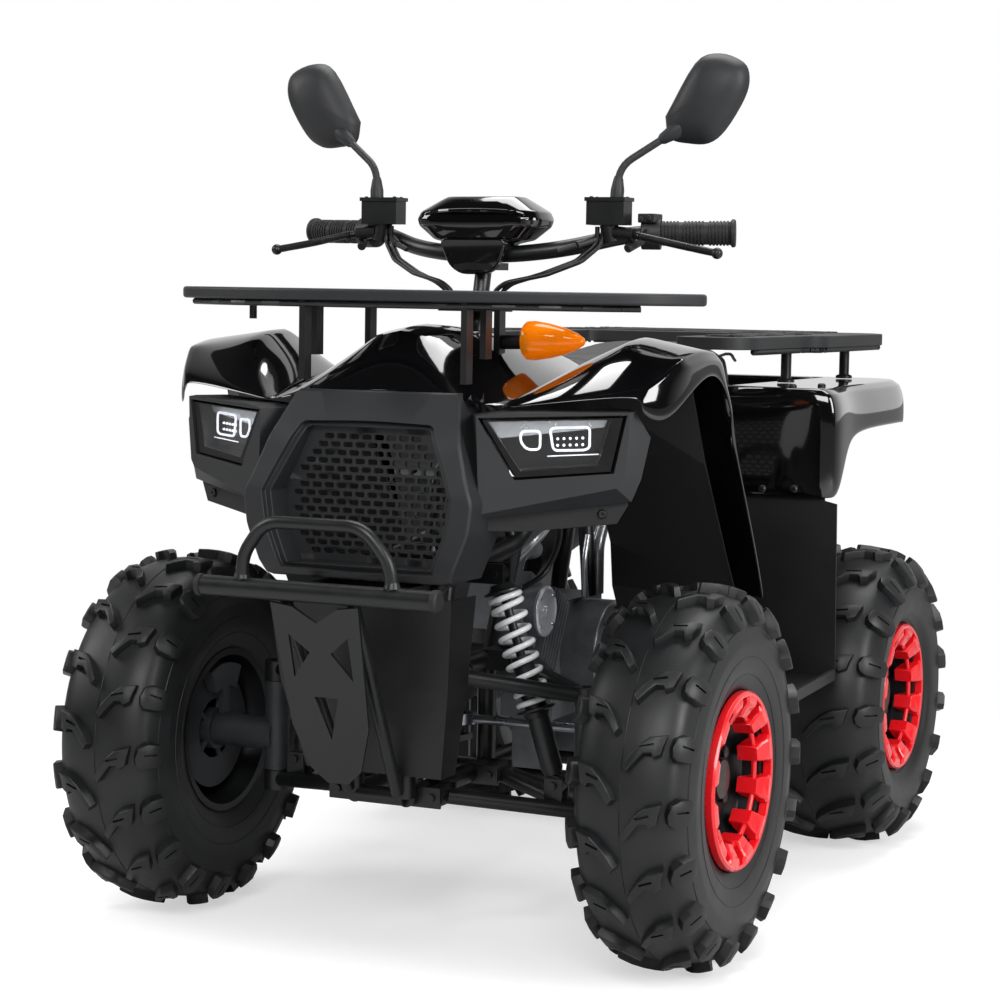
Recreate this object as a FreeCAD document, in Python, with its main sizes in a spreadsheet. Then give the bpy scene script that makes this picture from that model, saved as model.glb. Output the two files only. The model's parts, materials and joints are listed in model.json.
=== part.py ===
"""Small quad bike: tubular chassis, moulded body, chain-driven rear axle and steered front wheels.

Millimetres. The front faces -Y, the rider's left is +X and up is +Z. The origin is on the ground
under the middle of the whole machine, and the wheelbase is centred on it.
"""
import FreeCAD
import Part
import math
import os
import Sketcher

V = FreeCAD.Vector
UP = V(0, 0, 1)

# Driving dimensions: alias, value in mm or degrees, meaning
DIMENSIONS = (
    ("wheelbase", 816, "front axle to rear axle"),
    ("front_track", 721, "between the front wheels' centre planes"),
    ("rear_track", 621, "between the rear wheels' centre planes"),
    ("front_tyre_radius", 241, "19 inch front tyre out to the lugs"),
    ("front_tyre_width", 148, "front tyre over its sidewalls"),
    ("rear_tyre_radius", 228, "18 inch rear tyre out to the lugs"),
    ("rear_tyre_width", 211, "rear tyre over its sidewalls"),
    ("bead_radius", 102, "tyre bead on an 8 inch rim"),
    ("flange_radius", 111, "edge of the rim and of its clamp ring"),
    ("tyre_wall", 9, "thickness of the tyre's wall"),
    ("lug_height", 12, "lugs above the tyre's casing"),
    ("front_lug_pitches", 18, "rows of lugs round a front tyre"),
    ("rear_lug_pitches", 17, "rows of lugs round a rear tyre"),
    ("rim_wall", 3, "sheet of the rim"),
    ("rim_seat_gap", 0.4, "bead to rim"),
    ("front_ring_face", 74, "outer face of the clamp ring from the wheel's centre plane"),
    ("rear_ring_face", 97, "outer face of the clamp ring from the wheel's centre plane"),
    ("ring_inner_radius", 78, "inner ends of the ring's blocks"),
    ("ring_block_depth", 27, "blocks of the clamp ring"),
    ("ring_rod_radius", 3.6, "rods between the blocks"),
    ("ring_rod_circle", 86, "rods from the axle"),
    ("wheel_face_offset", 24, "wheel disc outboard of the centre plane"),
    ("hub_radius", 28, "hub barrel"),
    ("spindle_radius", 10, "front spindle"),
    ("running_gap", 0.06, "radial clearance of a shaft in its bore"),
    ("seat_gap", 0.3, "clearance between pieces that are bolted together"),
    ("brake_disc_radius", 80, "front brake disc"),
    ("brake_disc_thickness", 3.5, "front brake disc"),
    ("kingpin_half_track", 224, "kingpin axis from the centreline"),
    ("kingpin_radius", 8, "kingpin in the arms"),
    ("arm_tube_radius", 10, "suspension arm tube"),
    ("arm_pivot_front", 505, "front arm pivots ahead of the origin"),
    ("arm_pivot_rear", 335, "rear arm pivots ahead of the origin"),
    ("arm_eye_length", 40, "arm bush"),
    ("arm_eye_radius", 14, "arm bush"),
    ("lower_pivot_half", 66, "lower arm pivots from the centreline"),
    ("lower_pivot_height", 205, "lower arm pivots above ground"),
    ("lower_ball_height", 181, "lower kingpin housing above ground"),
    ("upper_pivot_half", 86, "upper arm pivots from the centreline"),
    ("upper_pivot_height", 357, "upper arm pivots above ground"),
    ("upper_ball_height", 328, "upper kingpin housing above ground"),
    ("ball_housing_radius", 17, "kingpin housing"),
    ("ball_housing_height", 26, "kingpin housing"),
    ("steering_arm_back", 63, "tie rod behind the kingpin"),
    ("steering_arm_out", 20, "tie rod outboard of the kingpin"),
    ("tie_rod_height", 275, "tie rods above ground"),
    ("tie_rod_radius", 6, "tie rod"),
    ("rod_eye_bore", 12.6, "room for the column's stud in the tie rod's inner eye"),
    ("damper_top_half", 100, "damper's upper pin from the centreline"),
    ("damper_top_height", 478, "damper's upper pin above ground"),
    ("damper_bottom_half", 186, "damper's lower pin from the centreline"),
    ("damper_bottom_height", 214, "damper's lower pin above ground"),
    ("damper_plane", 414, "dampers ahead of the origin"),
    ("damper_radius", 14, "damper body"),
    ("spring_radius", 23, "outside of the coil spring"),
    ("spring_wire", 7, "wire of the coil spring"),
    ("spring_turns", 9, "turns of the coil spring"),
    ("column_foot_ahead", 408, "steering column's foot ahead of the origin"),
    ("column_foot_height", 232, "steering column's foot above ground"),
    ("column_top_ahead", 256, "handlebar clamp ahead of the origin"),
    ("column_top_height", 872, "handlebar clamp above ground"),
    ("column_radius", 11, "steering column"),
    ("bar_radius", 11, "handlebar tube"),
    ("bar_half_length", 316, "handlebar's end from the centreline"),
    ("grip_radius", 16, "handlebar grip"),
    ("grip_length", 112, "handlebar grip"),
    ("frame_tube_radius", 12.5, "main frame tube"),
    ("rail_half_front", 36, "lower rails at the front suspension"),
    ("rail_half_main", 100, "lower rails under the engine"),
    ("front_upright", 541, "front uprights ahead of the origin"),
    ("middle_upright", 285, "uprights behind the front suspension"),
    ("seat_rail_height", 620, "upper rails under the seat"),
    ("engine_rail_height", 150, "lower rails under the engine"),
    ("swingarm_pivot_back", 118, "swingarm pivot behind the origin"),
    ("swingarm_pivot_height", 250, "swingarm pivot above ground"),
    ("axle_radius", 15, "rear axle"),
    ("axle_housing_radius", 32, "rear axle carrier"),
    ("sprocket_radius", 62, "rear sprocket"),
    ("drive_sprocket_radius", 24, "engine sprocket"),
    ("chain_side", -52, "chain plane from the centreline"),
    ("chain_width", 12, "drive chain"),
    ("rear_disc_radius", 72, "rear brake disc"),
    ("bumper_ahead", 711, "bumper tube ahead of the origin"),
    ("bumper_height", 477, "bumper tube above ground"),
    ("bumper_half_length", 155, "bumper tube from the centreline"),
    ("bumper_radius", 12.5, "bumper tube"),
    ("bumper_hoop_radius", 8, "hoop tube"),
    ("bumper_hoop_rise", 82, "hoop above the bumper tube"),
    ("panel", 3.5, "wall of the moulded panels"),
    ("nose_ahead", 617, "front of the grille surround ahead of the origin"),
    ("nose_bottom", 482, "bottom of the grille surround"),
    ("nose_top", 711, "top of the grille surround"),
    ("nose_depth", 92, "grille surround front to back"),
    ("grille_thickness", 5, "grille moulding"),
    ("slot_length", 13.5, "slots of the grille"),
    ("slot_height", 6.8, "slots of the grille"),
    ("slot_pitch", 17.2, "slots of the grille, side by side"),
    ("slot_rise", 10.2, "rows of slots, one above the other"),
    ("lamp_depth", 55, "headlamp housing"),
    ("hood_top", 800, "crest of the hood"),
    ("fender_half_width", 370, "outer edge of the front fenders"),
    ("rack_half_width", 367, "front rack's tips"),
    ("rack_height", 828, "front rack"),
    ("rack_thickness", 15, "front rack"),
    ("rack_lip", 8, "front edge of the front rack below its slab"),
    ("rear_rack_height", 776, "rear rack's top"),
    ("rear_rack_thickness", 20, "rear rack"),
    ("rear_rack_half_width", 285, "rear rack"),
    ("rear_deck_height", 703, "top of the rear fenders under the rack"),
    ("tail_back", 724, "rear edge of the rear rack behind the origin"),
    ("footrest_height", 284, "footrest tread"),
    ("footrest_half_width", 386, "footrest's outer edge"),
    ("footrest_front", 102, "footrest's front edge ahead of the origin"),
    ("seat_front", 61.7, "seat's front edge ahead of the origin"),
    ("seat_length", 501.7, "seat"),
    ("seat_height", 742, "top of the seat"),
    ("seat_half_width", 130, "seat"),
)

doc = FreeCAD.newDocument("QuadBike")
sheet = doc.addObject("Spreadsheet::Sheet", "dim")
for row, (alias, value, meaning) in enumerate(DIMENSIONS, start=1):
    sheet.set(f"A{row}", meaning)
    sheet.set(f"B{row}", str(value))
    sheet.setAlias(f"B{row}", alias)
doc.recompute()


class Dim:
    """The sheet's numbers, read by their alias."""

    def __getattr__(self, alias):
        return float(sheet.get(alias))


dim = Dim()
pieces = []

FRONT_AXLE = V(0, -dim.wheelbase / 2, dim.front_tyre_radius)
REAR_AXLE = V(0, dim.wheelbase / 2, dim.rear_tyre_radius)
SIDES = (("left", 1), ("right", -1))


def keep(label, shape, position=None):
    """Adds a sub-part with a shape of its own and remembers it for the export."""
    item = doc.addObject("Part::Feature", label)
    item.Label = label
    item.Shape = shape
    if position is not None:
        item.Placement = FreeCAD.Placement(position, FreeCAD.Rotation())
    pieces.append(item)
    return item


def mirrored(shape):
    return shape.mirror(V(0, 0, 0), V(1, 0, 0))


def both(shape):
    """The shape and its mirror image across the centreline."""
    return Part.makeCompound([shape, mirrored(shape)])


def welded(shapes):
    """One solid from pieces that overlap or touch."""
    first, rest = shapes[0], shapes[1:]
    return first.fuse(rest).removeSplitter()


def swap(point):
    """A point on the other side of the centreline."""
    return V(-point.x, point.y, point.z)


def cylinder(start, end, radius):
    run = end - start
    return Part.makeCylinder(radius, run.Length, start, run)


def ring(start, end, radius, bore):
    """A tube or bush with a bore."""
    return cylinder(start, end, radius).cut(cylinder(start, end, bore))


def block(low, high):
    return Part.makeBox(high.x - low.x, high.y - low.y, high.z - low.z, low)


def facing_out(solid):
    """The solid with its faces turned outwards."""
    if solid.Volume < 0:
        solid.reverse()
    return solid


def tube(points, radius, bend):
    """A round bar along straight runs joined by tangent arcs."""
    edges = []
    start = points[0]
    for before, corner, after in zip(points, points[1:], points[2:]):
        inward = (corner - before).normalize()
        outward = (after - corner).normalize()
        turn = inward.getAngle(outward)
        room = 0.45 * min((corner - before).Length, (after - corner).Length)
        cut = min(bend * math.tan(turn / 2), room)
        arc_start = corner - inward * cut
        arc_end = corner + outward * cut
        arc_radius = cut / math.tan(turn / 2)
        chord = (outward - inward).normalize()
        centre = corner + chord * (arc_radius / math.cos(turn / 2))
        middle = centre + (corner - centre).normalize() * arc_radius
        edges.append(Part.LineSegment(start, arc_start).toShape())
        edges.append(Part.Arc(arc_start, middle, arc_end).toShape())
        start = arc_end
    edges.append(Part.LineSegment(start, points[-1]).toShape())
    circle = Part.Wire([Part.makeCircle(radius, points[0], points[1] - points[0])])
    bar = Part.Wire(edges).makePipeShell([circle], True, False)
    return facing_out(bar)


def polygon(points):
    return Part.Face(Part.makePolygon(points + [points[0]]))


def plate(points, thickness):
    """A flat plate: the polygon pushed along a vector."""
    return polygon(points).extrude(thickness)


def side_plate(outline, x, thickness):
    """A plate in a plane across the machine, from (y, z) pairs."""
    return plate([V(x, y, z) for y, z in outline], V(thickness, 0, 0))


def top_plate(outline, z, thickness):
    """A level plate, from (x, y) pairs."""
    return plate([V(x, y, z) for x, y in outline], V(0, 0, thickness))


def front_plate(outline, y, thickness):
    """A plate facing forwards, from (x, z) pairs."""
    return plate([V(x, y, z) for x, z in outline], V(0, thickness, 0))


def skin(sections, wall):
    """A moulded panel: open sections of equal point counts, thickened by a vector and lofted."""
    wires = []
    for section in sections:
        back = [point + wall for point in reversed(section)]
        loop = section + back
        wires.append(Part.makePolygon(loop + [loop[0]]))
    return facing_out(Part.makeLoft(wires, True, True))


def loft(sections):
    wires = [Part.makePolygon(section + [section[0]]) for section in sections]
    return facing_out(Part.makeLoft(wires, True, True))


def largest(shape):
    """The main solid of a cut, without slivers."""
    return max(shape.Solids, key=lambda solid: solid.Volume)


def facets(loop):
    """Two triangles of a four-cornered patch."""
    return [polygon([loop[0], loop[1], loop[2]]), polygon([loop[0], loop[2], loop[3]])]


def shell_panel(sections, walls):
    """A thin moulding: open sections whose back face lies at each section's own wall vector."""
    fronts = sections
    backs = [[point + wall for point in section] for section, wall in zip(sections, walls)]
    faces = []
    for a, b in zip(range(len(fronts)), range(1, len(fronts))):
        for side in (fronts, backs):
            for k in range(len(side[a]) - 1):
                faces += facets([side[a][k], side[a][k + 1], side[b][k + 1], side[b][k]])
        for k in (0, -1):
            faces += facets([fronts[a][k], fronts[b][k], backs[b][k], backs[a][k]])
    for end in (0, -1):
        for k in range(len(fronts[end]) - 1):
            faces += facets([fronts[end][k], fronts[end][k + 1], backs[end][k + 1], backs[end][k]])
    shell = Part.makeShell(faces)
    shell.sewShape()
    return facing_out(Part.makeSolid(shell))


def origin_plane(body, role):
    return next(item for item in body.Origin.OriginFeatures if item.Role == role)


def sketch_on(body, role, name):
    sketch = body.newObject("Sketcher::SketchObject", name)
    sketch.AttachmentSupport = [(origin_plane(body, role), "")]
    sketch.MapMode = "FlatFace"
    return sketch


def outline(sketch, corners):
    """A closed outline whose corners are bound to expressions of the sheet."""
    spots = [V(*(float(sheet.evalExpression(text)) for text in corner), 0) for corner in corners]
    first = sketch.GeometryCount
    count = len(spots)
    for index, spot in enumerate(spots):
        sketch.addGeometry(Part.LineSegment(spot, spots[(index + 1) % count]), False)
    for index in range(count):
        follower = first + (index + 1) % count
        sketch.addConstraint(Sketcher.Constraint("Coincident", first + index, 2, follower, 1))
    for index, (across, along) in enumerate(corners):
        spot = spots[index]
        for kind, text, value in (("DistanceX", across, spot.x), ("DistanceY", along, spot.y)):
            number = sketch.addConstraint(Sketcher.Constraint(kind, -1, 1, first + index, 1, value))
            sketch.setExpression(f"Constraints[{number}]", text)


def turned(profile):
    """The solid swept round the X axis by an outline of (x, radius) pairs."""
    return polygon([V(x, 0, radius) for x, radius in profile]).revolve(V(0, 0, 0), V(1, 0, 0), 360)


# Wheels

CLAMP_BLOCKS = 12


def wheel_centre(end, side):
    if end == "front":
        return V(side * dim.front_track / 2, FRONT_AXLE.y, FRONT_AXLE.z)
    return V(side * dim.rear_track / 2, REAR_AXLE.y, REAR_AXLE.z)


# One lug beside the middle and one on the shoulder of a tyre 148 wide: (across, round the crown)
PATTERN_HALF = 74
MIDDLE_LUG = ((5, -30), (20, -5), (45, 11), (42, -13), (27, -15), (10, -37))
SHOULDER_LUG = ((52, -4), (57, 14), (74, 14), (74, -15), (57, -19))
LOWEST_SPOT = 22


def both_edges(half, edge):
    """An outline from one side of the tyre to the other, from (share of the half width, radius) pairs."""
    return [(share * half, radius) for share, radius in edge] + [(-share * half, radius)
                                                                 for share, radius in reversed(edge)]


def lug(corners, stretch, radius, mirror):
    """A prism standing on the tread at the bottom of the wheel."""
    spots = [V(mirror * x * stretch, -(along + LOWEST_SPOT), -0.7 * radius) for x, along in corners]
    return plate(spots, V(0, 0, -0.4 * radius))


def tread(half, radius, casing, skin, pitches):
    """All lugs of a tyre, each between the casing and the skin over the lugs."""
    root = [(share, height - 3) for share, height in casing[1:]]
    band = turned(both_edges(half, skin) + list(reversed(both_edges(half, root))))
    step = 360 / pitches
    lugs = []
    for mirror, shift in ((1, 0), (-1, 0.5)):
        for corners in (MIDDLE_LUG, SHOULDER_LUG):
            master = lug(corners, half / PATTERN_HALF, radius, mirror)
            master.rotate(V(0, 0, 0), V(1, 0, 0), -shift * step)
            master = master.common(band)
            for index in range(pitches):
                copy = master.copy()
                copy.rotate(V(0, 0, 0), V(1, 0, 0), index * step)
                lugs.append(copy)
    return lugs


def tyre(end):
    """Casing with its bead and hollow inside, and directional lugs moulded on it."""
    half = getattr(dim, f"{end}_tyre_width") / 2
    radius = getattr(dim, f"{end}_tyre_radius")
    bead = dim.bead_radius
    widest = (1.00, bead + 0.45 * (radius - bead))
    crown = radius - dim.lug_height
    skin = [(0.98, radius - 42), (0.86, radius - 15), (0.62, radius - 7), (0.18, radius)]
    casing = [widest, (0.94, crown - 32), (0.79, crown - 13), (0.46, crown - 3), (0.16, crown)]
    outer = [(0.66, bead), (0.80, bead), (0.80, dim.flange_radius + 1),
             (0.90, dim.flange_radius + 10)] + casing
    wall = dim.tyre_wall
    inner = [(0.72, bead + 20), (0.87, widest[1]), (0.78, crown - wall - 24), (0.50, crown - wall - 6)]
    body = turned(both_edges(half, outer) + list(reversed(both_edges(half, inner))))
    pitches = int(getattr(dim, f"{end}_lug_pitches"))
    return body.fuse(tread(half, radius, casing, skin, pitches))


def rim(end, name, side):
    """Rolled rim with a pressed disc, castellated clamp ring on the outside and hub with the brake disc."""
    half = getattr(dim, f"{end}_tyre_width") / 2
    face = getattr(dim, f"{end}_ring_face")
    seat = dim.bead_radius - dim.rim_seat_gap
    sheet_inner = seat - dim.rim_wall
    flange = 0.80 * half + dim.seat_gap
    offset = dim.wheel_face_offset if end == "front" else dim.wheel_face_offset + 22
    wheel = turned([
        (-flange - dim.rim_wall, dim.flange_radius), (-flange, dim.flange_radius), (-flange, seat),
        (flange, seat), (flange, dim.flange_radius), (face - 3, dim.flange_radius),
        (face, dim.flange_radius - 3), (face, sheet_inner), (offset + 8, sheet_inner),
        (offset + 4, sheet_inner - 6),
        (offset + 4, dim.hub_radius), (offset, dim.hub_radius), (offset, sheet_inner - 8),
        (offset - 6, sheet_inner), (-flange - dim.rim_wall, sheet_inner),
    ])
    for step in range(4):
        angle = math.radians(45 + 90 * step)
        centre = V(offset - 5, 62 * math.cos(angle), 62 * math.sin(angle))
        wheel = wheel.cut(cylinder(centre, centre + V(14, 0, 0), 18))
    solids = [wheel.fuse(clamp_blocks(face, sheet_inner + 1)).removeSplitter()]
    if end == "front":
        solids.append(front_hub(offset))
    shape = Part.makeCompound(solids)
    if side < 0:
        shape = mirrored(shape)
    keep(f"rim_{end}_{name}", shape, wheel_centre(end, side))


def clamp_blocks(face, reach):
    """The ring's blocks, wide at the rim and narrow towards the axle, and the rods between them."""
    inner = dim.ring_inner_radius
    back = face - dim.ring_block_depth
    outline_yz = [(reach - 0.5, 17.5), (reach - 6, 14.5), (inner + 10, 13), (inner, 9.5)]
    corners = outline_yz + [(radius, -half) for radius, half in reversed(outline_yz)]
    block_shape = plate([V(back, half, radius) for radius, half in corners], V(dim.ring_block_depth, 0, 0))
    nose = [V(face - 10, -20, inner), V(face + 1, -20, inner + 18), V(face + 1, -20, inner)]
    block_shape = block_shape.cut(plate(nose, V(0, 40, 0)))
    swing = math.radians(360 / CLAMP_BLOCKS)
    rod_at = face - 17
    circle = dim.ring_rod_circle
    rod = cylinder(V(rod_at, 0, circle), V(rod_at, circle * math.sin(swing), circle * math.cos(swing)),
                   dim.ring_rod_radius)
    solids = []
    for index in range(CLAMP_BLOCKS):
        for item in (block_shape, rod):
            copy = item.copy()
            copy.rotate(V(0, 0, 0), V(1, 0, 0), (index + 0.5) * 360 / CLAMP_BLOCKS)
            solids.append(copy)
    return solids


def front_hub(offset):
    """Hub with the brake disc, about the wheel's own X axis."""
    bore = dim.spindle_radius + dim.running_gap
    inner = -46
    disc_at = -40
    barrel = ring(V(inner, 0, 0), V(offset - dim.seat_gap, 0, 0), dim.hub_radius, bore)
    nose = ring(V(offset - 1, 0, 0), V(offset + 12, 0, 0), dim.hub_radius - 0.5, bore)
    brake = ring(V(disc_at, 0, 0), V(disc_at + dim.brake_disc_thickness, 0, 0), dim.brake_disc_radius, bore)
    return welded([barrel, nose, brake])


for end in ("front", "rear"):
    rubber = tyre(end)
    for name, side in SIDES:
        keep(f"tyre_{end}_{name}", rubber, wheel_centre(end, side))
        rim(end, name, side)

# Knuckles, arms and dampers

KINGPIN = V(dim.kingpin_half_track, FRONT_AXLE.y, 0)
HOUSING = dim.ball_housing_height / 2


def at_height(point, height):
    return V(point.x, point.y, height)


def knuckle():
    """Left knuckle: kingpin post, spindle, steering arm and brake caliper."""
    gap = 1
    low = dim.lower_ball_height + HOUSING + gap
    high = dim.upper_ball_height - HOUSING - gap
    post = cylinder(at_height(KINGPIN, low), at_height(KINGPIN, high), 16)
    pin = cylinder(at_height(KINGPIN, low - gap - 22), at_height(KINGPIN, high + gap + 22),
                   dim.kingpin_radius)
    wheel = wheel_centre("front", 1)
    hub_inner = wheel.x - 46
    carrier = cylinder(V(KINGPIN.x, wheel.y, wheel.z), V(hub_inner - 1, wheel.y, wheel.z), 22)
    spindle = cylinder(V(KINGPIN.x, wheel.y, wheel.z), V(wheel.x + 42, wheel.y, wheel.z), dim.spindle_radius)
    rod_end = rod_end_centre()
    arm_top = dim.tie_rod_height - 9
    arm = top_plate([
        (KINGPIN.x - 9, KINGPIN.y), (KINGPIN.x + 9, KINGPIN.y),
        (rod_end.x + 9, rod_end.y + 9), (rod_end.x - 9, rod_end.y + 9),
    ], arm_top - 11, 10)
    stud = cylinder(at_height(rod_end, arm_top - 4), at_height(rod_end, dim.tie_rod_height + 12), 5)
    solid = welded([post, pin, carrier, spindle, arm, stud])
    return Part.makeCompound([solid, caliper()])


def rod_end_centre():
    return V(KINGPIN.x + dim.steering_arm_out, KINGPIN.y + dim.steering_arm_back, dim.tie_rod_height)


def caliper():
    """Caliper over the front of the disc, on a bracket from the carrier."""
    wheel = wheel_centre("front", 1)
    disc = wheel.x - 40
    outer = 90
    inner = 58
    sweep = 50
    body = Part.makeCylinder(outer, 30, V(disc - 18, wheel.y, wheel.z), V(1, 0, 0), sweep)
    body = body.cut(Part.makeCylinder(inner, 30, V(disc - 18, wheel.y, wheel.z), V(1, 0, 0), 360))
    slot = Part.makeCylinder(dim.brake_disc_radius + 3, dim.brake_disc_thickness + 5,
                             V(disc - 2.5, wheel.y, wheel.z), V(1, 0, 0), 360)
    body = body.cut(slot)
    bracket = block(V(disc - 18, wheel.y - 8, wheel.z + 22), V(disc - 10, wheel.y + 8, wheel.z + 60))
    body.rotate(V(disc, wheel.y, wheel.z), V(1, 0, 0), -sweep / 2)
    return body.fuse(bracket)


def arm(pivot_half, pivot_height, ball_height):
    """Left A-arm: two tubes from the bushes to the kingpin housing."""
    ball = at_height(KINGPIN, ball_height)
    solids = [cylinder(at_height(ball, ball_height - HOUSING), at_height(ball, ball_height + HOUSING),
                       dim.ball_housing_radius)]
    for ahead in (dim.arm_pivot_front, dim.arm_pivot_rear):
        pivot = V(pivot_half, -ahead, pivot_height)
        half = V(0, dim.arm_eye_length / 2, 0)
        solids.append(cylinder(pivot - half, pivot + half, dim.arm_eye_radius))
        solids.append(cylinder(pivot, ball, dim.arm_tube_radius))
    return solids, ball


def lower_arm():
    solids, ball = arm(dim.lower_pivot_half, dim.lower_pivot_height, dim.lower_ball_height)
    pin = V(dim.damper_bottom_half, -dim.damper_plane, dim.damper_bottom_height)
    lug = 4
    gap = 8.3
    for offset in (-gap - lug, gap):
        solids.append(side_block(pin, 12, -34, 9, offset, lug))
    bolt = V(0, gap + lug + 5, 0)
    solids.append(cylinder(pin - bolt, pin + bolt, 5))
    bore = cylinder(at_height(ball, 0), at_height(ball, 600), dim.kingpin_radius + dim.running_gap)
    return welded(solids).cut(bore)


def side_block(pin, half, low, high, offset, thickness):
    return block(V(pin.x - half, pin.y + offset, pin.z + low),
                 V(pin.x + half, pin.y + offset + thickness, pin.z + high))


def upper_arm():
    solids, ball = arm(dim.upper_pivot_half, dim.upper_pivot_height, dim.upper_ball_height)
    bore = cylinder(at_height(ball, 0), at_height(ball, 600), dim.kingpin_radius + dim.running_gap)
    return welded(solids).cut(bore)


def bored_arm(shape, pivot_half, pivot_height):
    for ahead in (dim.arm_pivot_front, dim.arm_pivot_rear):
        pivot = V(pivot_half, -ahead, pivot_height)
        reach = V(0, dim.arm_eye_length, 0)
        shape = shape.cut(cylinder(pivot - reach, pivot + reach, 5.3))
    return shape


LOWER_ARM = bored_arm(lower_arm(), dim.lower_pivot_half, dim.lower_pivot_height)
UPPER_ARM = bored_arm(upper_arm(), dim.upper_pivot_half, dim.upper_pivot_height)
keep("front_arms", Part.makeCompound([LOWER_ARM, UPPER_ARM, mirrored(LOWER_ARM), mirrored(UPPER_ARM)]))

LEFT_KNUCKLE = knuckle()
keep("knuckle_left", LEFT_KNUCKLE)
keep("knuckle_right", mirrored(LEFT_KNUCKLE))


def coil(low, high):
    """An open coil spring between its two seats."""
    wire = dim.spring_wire / 2
    axis = (high - low).normalize()
    rise = (high - low).Length - dim.spring_wire
    radius = dim.spring_radius - wire
    helix = Part.makeHelix(rise / dim.spring_turns, rise, radius)
    circle = Part.Wire([Part.makeCircle(wire, V(radius, 0, 0), UP.cross(V(1, 0, 0)))])
    spring = facing_out(Part.Wire(helix.Edges).makePipeShell([circle], True, True))
    spring.Placement = FreeCAD.Placement(low + axis * wire, FreeCAD.Rotation(UP, axis))
    return spring


def coil_over(top, bottom, across):
    """A damper with spring seats and its spring; across is half of the eyes' width as a vector."""
    run = (bottom - top).normalize()
    length = (bottom - top).Length
    spring_top = top + run * 26
    spring_bottom = bottom - run * (length * 0.36)
    bolt_gap = 0.3
    solids = [
        cylinder(top, spring_top, 8),
        cylinder(spring_top - run * 5, spring_top, dim.spring_radius + 2),
        cylinder(spring_top, spring_bottom, 6),
        cylinder(spring_top + run * (length * 0.30), bottom - run * 17, dim.damper_radius),
        cylinder(bottom - run * 18, bottom, 8),
        cylinder(spring_bottom, spring_bottom + run * 5, dim.spring_radius + 2),
    ]
    damper = welded(solids)
    for eye in (top, bottom):
        damper = damper.fuse(cylinder(eye - across, eye + across, 12))
        damper = damper.cut(cylinder(eye - across * 3, eye + across * 3, 5 + bolt_gap))
    return damper, coil(spring_bottom - run * 0.3, spring_top + run * 0.3)


LEFT_DAMPER, LEFT_SPRING = coil_over(
    V(dim.damper_top_half, -dim.damper_plane, dim.damper_top_height),
    V(dim.damper_bottom_half, -dim.damper_plane, dim.damper_bottom_height), V(0, 8, 0))


def tie_rod(side):
    """Rod between the steering column's stud and the knuckle's stud."""
    outer = rod_end_centre()
    inner = V(dim.steering_arm_out, -dim.column_foot_ahead + dim.steering_arm_back, dim.tie_rod_height)
    half = V(0, 0, 7)
    rod = cylinder(inner + V(14, 0, 0), outer - V(8, 0, 0), dim.tie_rod_radius)
    rod = welded([rod, cylinder(inner - half, inner + half, dim.rod_eye_bore + 5.5),
                  cylinder(outer - half, outer + half, 11)])
    rod = rod.cut(cylinder(inner - half, inner + half, dim.rod_eye_bore))
    rod = rod.cut(cylinder(outer - half, outer + half, 5 + dim.running_gap))
    return rod if side > 0 else mirrored(rod)


for name, side in SIDES:
    keep(f"tie_rod_{name}", tie_rod(side))

# Frame

def rail(points):
    return tube(points, dim.frame_tube_radius, 60)


def both_rails(points):
    bar = rail(points)
    return [bar, mirrored(bar)]


def crossbar(half, y, z, radius):
    return cylinder(V(-half, y, z), V(half, y, z), radius)


def clevis(pivot, inner_x, bush_half, lug):
    """Two lugs and the bolt through a bush whose axis lies along Y."""
    solids = []
    gap = 0.4
    for low in (pivot.y - bush_half - gap - lug, pivot.y + bush_half + gap):
        solids.append(block(V(min(inner_x, pivot.x - 12), low, pivot.z - 13),
                            V(pivot.x + 12, low + lug, pivot.z + 13)))
    reach = V(0, bush_half + gap + lug + 4, 0)
    solids.append(cylinder(pivot - reach, pivot + reach, 5))
    return solids


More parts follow.
